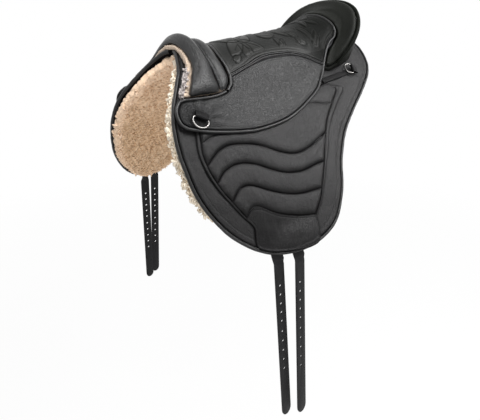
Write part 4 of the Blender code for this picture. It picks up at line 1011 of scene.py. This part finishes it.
def makeStrap(name, sideName, endName):
    hinge, hang = (np.array(strap[key][endName]) * (sides[sideName], 1, 1)
                   for key in ("hinges", "hangs"))
    y, s, rise = unlay(hinge[None])
    run = unit(lay(y, s * 1.02, rise) - lay(y, s * 0.98, rise))[0]
    across = unit(lay(y + 0.01, s, rise) - lay(y - 0.01, s, rise))[0]
    outward = np.array((-hang[2], 0, hang[0])) / math.hypot(hang[0], hang[2])
    hanging = copyNode("girthStrap_" + name, "billet_" + name)
    squeeze(hanging, hinge, outward, strap["thinner"])
    cut(hanging, hinge + hang * strap["hangCut"], -hang, clear_outer=True)
    root = copyNode("strapRoot_" + name, "billet_root_" + name)
    squeeze(root, hinge, across, strap["narrower"])
    cut(root, hinge - run * strap["rootCut"], run, clear_outer=True)
    piece = joinPieces(hanging, root)
    bpy.ops.object.mode_set(mode="EDIT")
    bpy.ops.mesh.select_mode(type="VERT")
    bpy.ops.mesh.select_all(action="DESELECT")
    bpy.ops.mesh.select_non_manifold(extend=False, use_wire=False, use_multi_face=False,
                                     use_non_contiguous=False, use_verts=False)
    bpy.ops.mesh.bridge_edge_loops(number_cuts=4, interpolation="LINEAR")
    bpy.ops.object.mode_set(mode="OBJECT")
    cleanUp(piece)
    roundEdges(piece, strap["edge"], 2, 50)
    middle = unit(run + hang) * strap["bend"]
    finishPiece(piece, "strap_" + name, "strapLeather", "strap_leather", "billet_" + name,
                "billet_root_" + name, angle=40, bend=(hinge - middle, hinge + middle))


for sideName in sides:
    for endName in ("front", "rear"):
        makeStrap(sideName + "_" + endName, sideName, endName)
print("girth straps ready")


# Pommel: felt lining with its fluff, and two padded rolls
roll = {"voxel": 0.0036, "cap": 0.0018, "pressure": 4.0, "hem": 0.0050, "tuck": 0.0030,
        "seams": (-0.0045, 0.0050), "grooveWidth": 0.0010, "grooveDepth": 0.0008,
        "foot": (0.086, 0.096), "footRise": (0.047, 0.033), "ripples": (0.05, 44, 0.0004, 1)}
lining = {"voxel": 0.0018, "fluff": 420, "length": 0.0070, "width": 0.0011,
          "fuzz": (0.010, 41, 0.0005, 1), "fineFuzz": (0.004, 42, 1, 1),
          "shown": (0.0345, 0.0285), "along": (0.045, 0.060)}

felt = copyNode("pommelFelt", "pommel_lining")
remesh(felt, lining["voxel"], 5)
places = coordinates(felt)
fine = ripples(places, lining["fineFuzz"])
pushOut(felt, ripples(places, lining["fuzz"]) + fine * 0.0003)
# lighter on the fuzz's crests: painted light and shade
paint(felt, "paintedTipLight", 0.5 + 0.4 * fine)
paint(felt, "cream", 0)
finishPiece(felt, "saddle", "feltWool", "felt", "pommel_lining", angle=80, fill=0.4)

liningFront = outline(liningFront=80)


def frontWallOnly(centre, normal):
    y, s, rise = unlay(centre)
    ahead = distanceTo(np.stack([y, np.abs(s)], 1), liningFront)
    low = fade(rise, *lining["shown"])
    along = fade(np.abs(s), *lining["along"]) * np.where(s > 0, 1, 0.1)
    return (ahead < 0.0022) * (normal[:, 1] < -0.4) * low * along + 1e-12


spots, directions, rng = samplePlaces(felt, lining["fluff"], frontWallOnly, 43)
frames = tuftFrames(spots, unit(directions * 0.3 + (0, -1.0, -0.15)), lining["length"],
                    lining["width"], rng, 0.9)
fluff = makeLocks("liningFluff", frames, cream=np.ones(len(frames)))
finishPiece(fluff, "saddle", "fluffWool", "felt", angle=180)

rollSeam = bothSides(outline(rollSeam=70))
for nodeName, pieceName in (("pommel_front_roll", "frontRoll"), ("pommel_back_roll", "backRoll")):
    piece = copyNode(pieceName, nodeName)
    roundEdges(piece, 0.0022)
    subdivide(piece, 2)
    y, s, rise = unlay(coordinates(piece))
    low = fade(np.abs(s), *roll["foot"])  # turned down over the lining's foot
    tucked = rise - low * fade(rise, *roll["footRise"]) * roll["tuck"]
    moveTo(piece, lay(y, s + np.sign(s) * low * roll["hem"] * 0.55, tucked))
    inflate(piece, roll["voxel"], roll["cap"], roll["pressure"])
    y, s, rise = unlay(coordinates(piece))
    flatPlaces = np.stack([y, s], 1)
    groove = sum(bell(distanceTo(flatPlaces, offsetLine(rollSeam, shift)[::2]),
                      roll["grooveWidth"]) for shift in roll["seams"]) * roll["grooveDepth"]
    pushOut(piece, -groove * (rise > 0.036) + ripples(coordinates(piece), roll["ripples"]))
    # painted shade in the roll's seam grooves
    paint(piece, "cavity", fade(groove, 0, 0.0009) * 0.7)
    finishPiece(piece, "saddle", "rollLeather", "leather", nodeName, angle=80, fill=0.8)
dress(nodes["gullet_plate"], "strapLeather")
print("pommel ready")


# Seat: tooled centre, foam and double seams
seat = {"columns": 250, "rows": 150, "edge": 0.0022, "seam": (0.0045, 0.0009, 0.0004),
        "field": (0.007, 0.010), "shadow": (0.07, 0.13)}
tooling = {"depth": 0.0009, "cut": 0.0011, "puff": 0.0013, "reach": 0.034}

frontOutline = outline(seatFront=60, jockeyFront=40)
rearOutline = outline(tongueEnd=60, tongueSide=80, jockeyRear=40)
frontLine = offsetLine(frontOutline, -leatherMargin)
rearLine = offsetLine(rearOutline, leatherMargin)
frontLine[0, 1] = rearLine[0, 1] = 0.0
seamLine = outline(seam=160)
seamLine[0] = frontLine[60]
seamLine[-1] = rearLine[140]


def besideSeam(step):  # the seam's edge towards the spine (-1) or down the side (1)
    line = offsetLine(seamLine, outlines["welt"] * step)
    line[0] = stepAlong(frontLine, 60, step, outlines["welt"])
    line[-1] = stepAlong(rearLine, 140, step, outlines["welt"])
    return line


def petal(centre, angle, length, width, curve=0.0):
    steps = np.linspace(0, 1, 15)
    run = np.array([math.cos(angle), math.sin(angle)])
    across = np.array([-run[1], run[0]])
    half = np.outer(width * np.sin(np.pi * steps ** 0.8) ** 0.65, across)
    line = centre + np.outer(steps * length, run) + np.outer(curve * length * steps ** 2, across)
    return np.vstack([line + half, (line - half)[::-1]])


def spiral(centre, angle, start, turns, hand):
    steps = np.linspace(0, 1, 30)
    radius = start * (1 - 0.82 * steps)
    sweep = angle + hand * turns * 2 * np.pi * steps
    return np.stack([centre[0] + radius * np.cos(sweep), centre[1] + radius * np.sin(sweep)], 1)


def inside(points, border):
    x, y = points.T
    found = np.zeros(len(points), dtype=bool)
    for (x1, y1), (x2, y2) in zip(border, np.roll(border, -1, axis=0)):
        crosses = (y1 > y) != (y2 > y)
        at = (x2 - x1) * (y - y1) / np.where(abs(y2 - y1) < 1e-12, 1e-12, y2 - y1) + x1
        found ^= crosses & (x < at)
    return found


# Places are x across and y along. A leaf has its root, angle, length, width and curve, a scroll
# its centre, angle, radius, turns and hand, and a flower its centre, size, first turn and petals.
flowers = (((0.017, -0.056), 0.047, 0.30, 6), ((0.0, 0.150), 0.028, 0.0, 5))
leaves = (
    ((0.008, 0.000), 0.95, 0.036, 0.0085, 0.4), ((0.022, 0.026), 0.35, 0.032, 0.0075, -0.4),
    ((0.045, 0.018), 1.85, 0.030, 0.0070, 0.3), ((0.048, 0.112), 1.75, 0.036, 0.0080, 0.4),
    ((0.014, 0.108), 0.75, 0.034, 0.0075, -0.4), ((0.030, 0.078), 0.60, 0.022, 0.0075, 0.4),
    ((0.032, 0.086), 3.60, 0.020, 0.0070, 0.4), ((0.008, 0.046), 1.30, 0.030, 0.0070, -0.4))
scrolls = (((0.031, 0.081), 0.3, 0.027, 1.15, 1), ((0.058, 0.046), 1.9, 0.012, 1.3, -1),
           ((0.034, 0.136), 0.4, 0.013, 1.3, -1), ((0.028, 0.172), 1.0, 0.009, 1.2, -1))
oddLeaves = (
    ((-0.034, -0.080), 0.9, 0.030, 0.007, 0.3), ((-0.038, -0.040), 1.8, 0.034, 0.008, 0.4),
    ((0.044, -0.100), 1.4, 0.020, 0.0055, 0.3), ((0.046, -0.006), 0.5, 0.022, 0.006, -0.4))


def floralPattern():  # leaves and scrolls are mirrored to the other half, odd leaves aren't
    petals, veins = [], []
    for centre, size, first, count in flowers:
        centre = np.array(centre)
        for index in range(count):
            angle = math.pi / 2 + (index + first) * 2 * math.pi / count
            petals.append(petal(centre, angle, size, size * 0.25, 0.16))
            tip = petals[-1][11:17].mean(0)
            veins.append(np.array([centre * 0.75 + tip * 0.25, centre * 0.25 + tip * 0.75]))
        turn = np.linspace(0, 2 * np.pi, 17)
        veins.append(centre + size * 0.14 * np.stack([np.cos(turn), np.sin(turn)], 1))
    for hand in (1, -1):
        flip = np.array([hand, 1.0])
        for centre, *shape in leaves:
            leaf = petal(np.array(centre), *shape)
            petals.append(leaf * flip)
            veins.append(((leaf[:13] + leaf[:-14:-1]) / 2) * flip)
        veins += [spiral(*scroll) * flip for scroll in scrolls]
    petals += [petal(np.array(centre), *shape) for centre, *shape in oddLeaves]
    return petals, veins


side = evenLine(np.vstack([besideSeam(-1), rearLine[139:59:-1]]), seat["columns"])
frontHalf = np.vstack([frontLine[:59], side[:1]])
grid = patch(side * (1, -1), side, evenLine(bothSides(frontHalf), seat["rows"]),
             evenLine(bothSides(rearLine[:61]), seat["rows"]))
flatGrid = grid.reshape(-1, 2)
edge = distanceTo(flatGrid, borderOf(grid)[::3])
pattern = flatGrid[:, ::-1].copy()
petals, veins = floralPattern()
cuts = np.full(len(pattern), 1e9)
raised = np.zeros(len(pattern))
for border in petals:
    near = np.linalg.norm(pattern - border.mean(0), axis=1) < tooling["reach"]
    away = distanceTo(pattern[near], np.vstack([border, border[:1]]))
    cuts[near] = np.minimum(cuts[near], away)
    crown = np.where(inside(pattern[near], border), clamp(away / 0.0030) ** 0.6, 0)
    raised[near] = np.maximum(raised[near], crown)
for line in veins:
    near = np.linalg.norm(pattern - line.mean(0), axis=1) < tooling["reach"]
    away = distanceTo(pattern[near], line)
    cuts[near] = np.minimum(cuts[near], away + 0.0003)
    raised[near] = np.maximum(raised[near], clamp(1.3 - away / 0.0032) * 0.6)
inField = fade(edge, *seat["field"])
carved = raised * tooling["puff"] - tooling["depth"] * bell(cuts, tooling["cut"])
over = (seatRise(*flatGrid.T) - roundOff(edge, seat["edge"]) + carved * inField
        - sewnRow(edge, *seat["seam"]))
# painted shade in the tooled cuts and towards the seat's rear
piece = makeFace("tooledSeat", grid, over, 1,
                 tooling=clamp(raised * 1.2) * inField + (1 - inField) * 0.6,
                 cavity=np.maximum(bell(cuts, tooling["cut"]) * inField * 0.8,
                                   fade(flatGrid[:, 0], *seat["shadow"]) * 0.75))
thicken(piece, lambda y, s, rise: seatRise(y, s) - outlines["cover"])
finishPiece(piece, "saddle", "tooledLeather", "tooled_leather", "seat_tooled_centre", angle=80,
            fill=0.7)

piece = copyNode("seatPadding", "seat_foam")
roundEdges(piece, 0.0010)
finishPiece(piece, "saddle", "seatFoam", "foam", "seat_foam", fill=0.9)


pipe = {"below": 0.0019, "seam": 0.0013, "seamBelow": 0.0006, "seamShift": 0.00125,
        "ripples": (0.015, 51, 0.00015, 1)}


def seatCord(name, line, radius, side, below, *replaced, body="saddle"):
    points = layLine(line, side, seatRise(line[:, 0], line[:, 1]) - below)
    piece = makeCord(name, points, radius, 4)
    pushOut(piece, ripples(coordinates(piece), pipe["ripples"]))
    finishPiece(piece, body, "bindingLeather", "leather", *replaced, angle=80)


frontCord = offsetLine(frontOutline, -outlines["piping"])
rearCord = offsetLine(rearOutline, outlines["piping"])
frontCord[0, 1] = rearCord[0, 1] = 0.0
for endName, line in (("Front", frontCord), ("Rear", rearCord)):
    seatCord("seatPiping" + endName, bothSides(line), outlines["piping"], 1, pipe["below"],
             "seat_piping_" + endName.lower())
for sideName, side in sides.items():
    for shift, where, replaced in ((-1, "In", ["seat_welt_" + sideName]), (1, "Out", [])):
        seatCord("seatSeam" + where + "_" + sideName,
                 offsetLine(seamLine, shift * pipe["seamShift"])[2:-2], pipe["seam"], side,
                 pipe["seamBelow"], *replaced)
print("seat ready")


# Jockeys and skirts in one leather, joined along the fold
jockey = {"columns": 120, "topColumns": 46, "tailColumns": 10, "rows": 46, "skirtRows": 60,
          "edge": 0.0022, "bend": 0.006, "axis": ((-0.160, 0.0975), (0.090, 0.1125)),
          "puff": 0.0012, "seam": (0.0052, 0.0010, 0.00035), "folds": 0.0009, "dent": 0.0010,
          "ripples": ((0.09, 61, 0.0006, 1), (0.03, 62, 0.0002, 1)),
          "frontShade": (-0.205, -0.235)}

fold = outline(fold=400)
skirtOutline = outline(skirtTop=120, skirtTip=100, skirtEdge=400)
skirtInner = offsetLine(skirtOutline, -leatherMargin)
foldStart = nearest(fold, (frontLine[-1] + skirtInner[2]) / 2)
foldTail = nearest(fold, skirtInner[-1]) - 8
foldEnd = nearest(fold, rearLine[-1])
foldPart = evenLine(fold[foldStart:foldTail + 1], jockey["columns"])
foldRest = evenLine(fold[foldTail:foldEnd + 1], jockey["tailColumns"])
lower = np.vstack([foldPart, foldRest[1:]])
upper = evenLine(besideSeam(1), len(lower) - 1)
first = evenLine(np.vstack([upper[:1], frontLine[63:-2], lower[:1]]), jockey["rows"])
last = evenLine(np.vstack([upper[-1:], rearLine[143:-2], lower[-1:]]), jockey["rows"])
upperGrid = patch(upper, lower, first, last)

skirtTopEdge = evenLine(np.vstack([skirtInner[120:3:-1], foldPart[:1]]), jockey["topColumns"])
skirtUpper = np.vstack([skirtTopEdge, foldPart[1:]])
along = skirtInner[220:]
skirtLower = evenLine(along[along[:, 0] < foldPart[-1][0]], len(skirtUpper) - 1)
skirtFirst = evenLine(skirtInner[120:221], jockey["skirtRows"])
skirtLast = evenLine([skirtUpper[-1], skirtLower[-1]], jockey["skirtRows"])
skirtLower[0] = skirtFirst[-1]
lowerGrid = patch(skirtUpper, skirtLower, skirtFirst, skirtLast)


def jockeyFace(name, grid, side):
    flatGrid = grid.reshape(-1, 2)
    y, s = flatGrid.T
    places = lay(y, s * side, back["skirtRise"])
    edge = distanceTo(flatGrid, np.vstack([upper, last, skirtLast]),
                      np.vstack([skirtFirst, skirtLower]), skirtTopEdge, first)
    offset = flatGrid - outlines["frontRing"]
    reach = np.linalg.norm(offset, axis=1)
    angle = np.arctan2(-offset[:, 1], offset[:, 0])  # 0 rearwards, up the side is positive
    folds = np.sin(angle * 11 + 0.8 * np.sin(angle * 3)) * bell(reach - 0.036, 0.020)
    folds *= clamp(np.cos(angle - 0.7) * 1.4)
    height = (seatRise(y, s) - roundOff(edge, jockey["edge"]) - sewnRow(edge, *jockey["seam"])
              + jockey["puff"] * (1 - bell(edge, 0.014)) + folds * jockey["folds"]
              - bell(reach, 0.019) * jockey["dent"]
              + ripples(places, *jockey["ripples"]) * fade(edge, 0, 0.01))
    # painted shade along the edge seam, around the front ring, towards the front and in the fold
    # troughs
    cavity = (0.6 * bell(edge - 0.0012, 0.0016) + 0.85 * bell(reach, 0.020)
              + 0.45 * fade(y, *jockey["frontShade"]) + 0.3 * clamp(-folds))
    return makeFace(name, grid, height, side, cavity=clamp(cavity, 0, 0.95))


for sideName, side in sides.items():
    piece = joinPieces(jockeyFace("jockeyLeather_" + sideName, upperGrid, side),
                       jockeyFace("skirtLeather_" + sideName, lowerGrid, side))
    cleanUp(piece, 0.00005)
    thicken(piece, lambda y, s, rise: rise - outlines["cover"])
    start, end = (lay(y, s * side, back["skirtRise"]) for y, s in jockey["axis"])
    upEdge, downEdge = (lay(-0.035, s * side, back["skirtRise"]) for s in (0.095, 0.115))
    run, downward = unit(end - start), downEdge - upEdge
    downward = unit(downward - run * (downward @ run)) * jockey["bend"]
    finishPiece(piece, "skirt_" + sideName, "skirtLeather", "leather", "jockey_" + sideName,
                "jockey_skirt_" + sideName, bend=(start - downward, start + downward))
    seatCord("skirtPiping_" + sideName, offsetLine(skirtOutline, -outlines["piping"])[4:-1],
             outlines["piping"], side, pipe["below"], "jockey_piping_" + sideName,
             body="skirt_" + sideName)
print("jockeys ready")


# Cantle
cantle = {"voxel": 0.0040, "cap": 0.0020, "pressure": 4.0, "lift": 0.0050, "cord": 0.0018,
          "lifted": (0.055, 0.115), "thickened": (0.02, 0.05)}


def raiseRim(piece):  # the pad's filling lifts the rim
    places = coordinates(piece)
    places[:, 2] += cantle["lift"] * fade(places[:, 2], *cantle["lifted"]) ** 1.5
    moveTo(piece, places)


for pieceName, nodeName, edge, angle, fill in (
        ("cantlePad", "cantle_pad", 0.0014, 80, 0.8),
        ("cantleGusset", "cantle_block", 0.0010, 60, 0.9),
        ("cantlePiping", "cantle_piping", 0, 80, 0)):
    piece = copyNode(pieceName, nodeName)
    if edge:
        roundEdges(piece, edge, 2, 50)
    subdivide(piece, 2)
    if pieceName == "cantlePad":
        inflate(piece, cantle["voxel"], cantle["cap"], cantle["pressure"])
    if pieceName == "cantlePiping":
        pushOut(piece, cantle["cord"] * fade(coordinates(piece)[:, 2], *cantle["thickened"]))
        # painted shade over the cantle's piping, dulling its highlight
        paint(piece, "cavity", 0.7)
    raiseRim(piece)
    finishPiece(piece, "saddle", "cantleLeather", "leather", nodeName, angle=angle, fill=fill)
print("cantle ready")


# Rings, keepers and the stirrup webbing
# Their size is a share of the solids', as in the photograph
ring = {"size": 0.86, "edge": 0.0005, "keeperShade": 0.6, "strapShade": 0.75}

for sideName in sides:
    for endName, keeperBody in (("front", "skirt_" + sideName), ("rear", "saddle")):
        ringNode, keeperNode = (endName + kind + sideName for kind in ("_ring_", "_keeper_"))
        keeper = coordinates(nodes[keeperNode])
        middle = (keeper.min(axis=0) + keeper.max(axis=0)) / 2
        piece = copyNode(endName + "Ring_" + sideName, ringNode)
        subdivide(piece, 2)
        moveTo(piece, middle + (coordinates(piece) - middle) * ring["size"])
        finishPiece(piece, ringNode, "polishedSteel", "steel", ringNode, angle=80)
        piece = copyNode(endName + "Keeper_" + sideName, keeperNode)
        roundEdges(piece, ring["edge"], 3, 50)
        moveTo(piece, middle + (coordinates(piece) - middle) * ring["size"])
        # painted shade over the whole keeper
        paint(piece, "cavity", ring["keeperShade"])
        finishPiece(piece, keeperBody, "grainLeather", "leather", keeperNode, angle=50)
    piece = copyNode("rearStrap_" + sideName, "rear_strap_" + sideName)
    roundEdges(piece, ring["edge"], 2, 50)
    # painted shade over the whole strap
    paint(piece, "cavity", ring["strapShade"])
    finishPiece(piece, "saddle", "grainLeather", "leather", "rear_strap_" + sideName, angle=50)
    dress(nodes["stirrup_ring_" + sideName], "polishedSteel")
dress(nodes["stirrup_web"], "stirrupWeave")
print("rings ready")


# Stitching
stitches = {"length": 0.0030, "pitch": 0.0042, "width": 0.00075, "height": 0.00055,
            "seamRow": 0.0072}


def stitchModel():
    deselectAll()
    bpy.ops.mesh.primitive_uv_sphere_add(segments=6, ring_count=4, radius=0.5)
    model = bpy.context.object
    places = coordinates(model)
    places[:, 0] = np.sign(places[:, 0]) * np.abs(places[:, 0] * 2) ** 0.6 / 2
    moveTo(model, places)
    return model


def stitchRow(name, line, rise, side, body="saddle"):  # rise from y and s
    points = layLine(line, side, rise(*line.T))
    length = np.linalg.norm(np.diff(points, axis=0), axis=1).sum()
    line = evenLine(line, max(2, int(length / stitches["pitch"])))
    points = layLine(line, side, rise(*line.T))
    frames = []
    for a, b, out in zip(points, points[1:], layLine(line, side, 1.0) - layLine(line, side, 0.0)):
        run = unit(b - a)
        across = unit(np.cross(out, run))
        frames.append(frameOf(run * stitches["length"], across * stitches["width"],
                              np.cross(run, across) * stitches["height"], (a + b) / 2))
    finishPiece(scatter(name, stitch, frames), body, "thread", "leather", angle=180)


stitch = stitchModel()
flapRow = offsetLine(outline(flap=400), -flap["seam"][0] - leatherMargin)[6:-6]
skirtRow = offsetLine(skirtOutline, -jockey["seam"][0] - leatherMargin)[10:-30]
seamRow = offsetLine(seamLine, stitches["seamRow"])[8:-8]
for sideName, side in sides.items():
    stitchRow("flapStitch_" + sideName, flapRow, lambda y, s: back["flapTop"] - 0.0003, side)
    stitchRow("skirtStitch_" + sideName, skirtRow, seatRise, side, "skirt_" + sideName)
    stitchRow("seamStitch_" + sideName, seamRow, lambda y, s: seatRise(y, s) + 0.0001, side)
print("stitching ready")


# Floor, light and camera
for model in (curl, stitch):
    bpy.data.objects.remove(model, do_unlink=True)

stage = {"floor": -1.15, "size": 60.0, "white": (0.90, 0.90, 0.90), "nearShare": 0.93,
         "nearReach": 1.2, "farReach": 2.6, "world": 0.39}


def whereShown(tree):  # 1 for the camera's own rays and for reflections, 0 for the light
    rays = addNode(tree, "LightPath").outputs
    seen = mathNode(tree, "MAXIMUM", rays["Is Camera Ray"], rays["Is Glossy Ray"])
    return mathNode(tree, "MAXIMUM", seen, rays["Is Transmission Ray"])


def stageMaterial():  # white where the camera or a reflection sees it, shadowed near the saddle
    material, tree, shader, place = newMaterial("stageWhite")
    connect(shader, {"Base Color": (*stage["white"], 1), "Roughness": 0.9,
                     "Specular IOR Level": 0.0})
    glow = addNode(tree, "Emission", Color=(1, 1, 1, 1), Strength=1.0)
    away = addNode(tree, "VectorMath", {"operation": "LENGTH"}, Vector=place).outputs["Value"]
    share = rangeOf(tree, away, stage["nearShare"], 1.0, stage["nearReach"], stage["farReach"])
    share = mathNode(tree, "MULTIPLY", whereShown(tree), share)
    mix = connect(addNode(tree, "MixShader"),
                  {0: share, 1: shader.outputs["BSDF"], 2: glow.outputs[0]})
    connect(tree.nodes["Material Output"], {"Surface": mix.outputs[0]})
    return material


deselectAll()
bpy.ops.mesh.primitive_plane_add(size=stage["size"], location=(0, 0, stage["floor"]))
floor = bpy.context.object
floor.name = "floor"
floor.data.materials.append(stageMaterial())

world = bpy.data.worlds.new("studio")
bpy.context.scene.world = world
world.use_nodes = True
tree = world.node_tree
strength = rangeOf(tree, whereShown(tree), stage["world"], 1.0, 0.0, 1.0)
connect(tree.nodes["Background"], {"Color": (1, 1, 1, 1), "Strength": strength})


def turned(place, right, up, backwards):
    return Matrix.Translation(place) @ Matrix((right, up, backwards)).transposed().to_4x4()


lights = {
    "keyLight": {"place": (1.05, 0.97, 1.20), "target": (0.12, 0.0, -0.05),
                 "along": (1, -0.7, 0), "size": (1.1, 0.9), "power": 46.0},
    "stripLight": {"place": (0.46, -0.22, 0.95), "target": (0.09, -0.19, 0.01),
                   "along": (0.775, 0.76, -0.32), "size": (1.0, 0.09), "power": 14.0},
    "frontLight": {"place": (-0.3, -1.5, 0.9), "target": (0, 0, -0.1),
                   "along": (1, 0, 0), "size": (1.2, 1.2), "power": 5.0},
    "fillLight": {"place": (1.2, -0.9, -0.6), "target": (-0.08, -0.1, -0.1),
                  "along": (1, 1, 0), "size": (0.9, 0.9), "power": 5.5},
}
for name, values in lights.items():
    light = bpy.data.lights.new(name, "AREA")
    light.shape = "RECTANGLE"
    light.size, light.size_y = values["size"]
    light.energy = values["power"]
    along = Vector(values["along"])
    away = (Vector(values["place"]) - Vector(values["target"])).normalized()
    side = (along - away * away.dot(along)).normalized()
    addObject(name, light).matrix_world = turned(values["place"], side, away.cross(side), away)

view = {"place": (0.65485, -0.55904, 0.081), "right": (0.6311, 0.7757, 0),
        "forward": (-0.73314487, 0.59644835, -0.32672308), "sensor": 36,
        "focal": 391.3 / 480, "shift": -0.10}  # the focal length in picture widths
right, forward = (Vector(view[key]).normalized() for key in ("right", "forward"))
cameraData = bpy.data.cameras.new("camera")
cameraData.sensor_width = view["sensor"]
cameraData.lens = view["focal"] * view["sensor"]
cameraData.shift_y = view["shift"]
cameraData.clip_start = 0.01
camera = addObject("camera", cameraData)
camera.matrix_world = turned(view["place"], right, right.cross(forward), -forward)
bpy.context.scene.camera = camera
bpy.context.scene.view_settings.view_transform = "Standard"
print("stage ready")

bpy.context.view_layer.update()
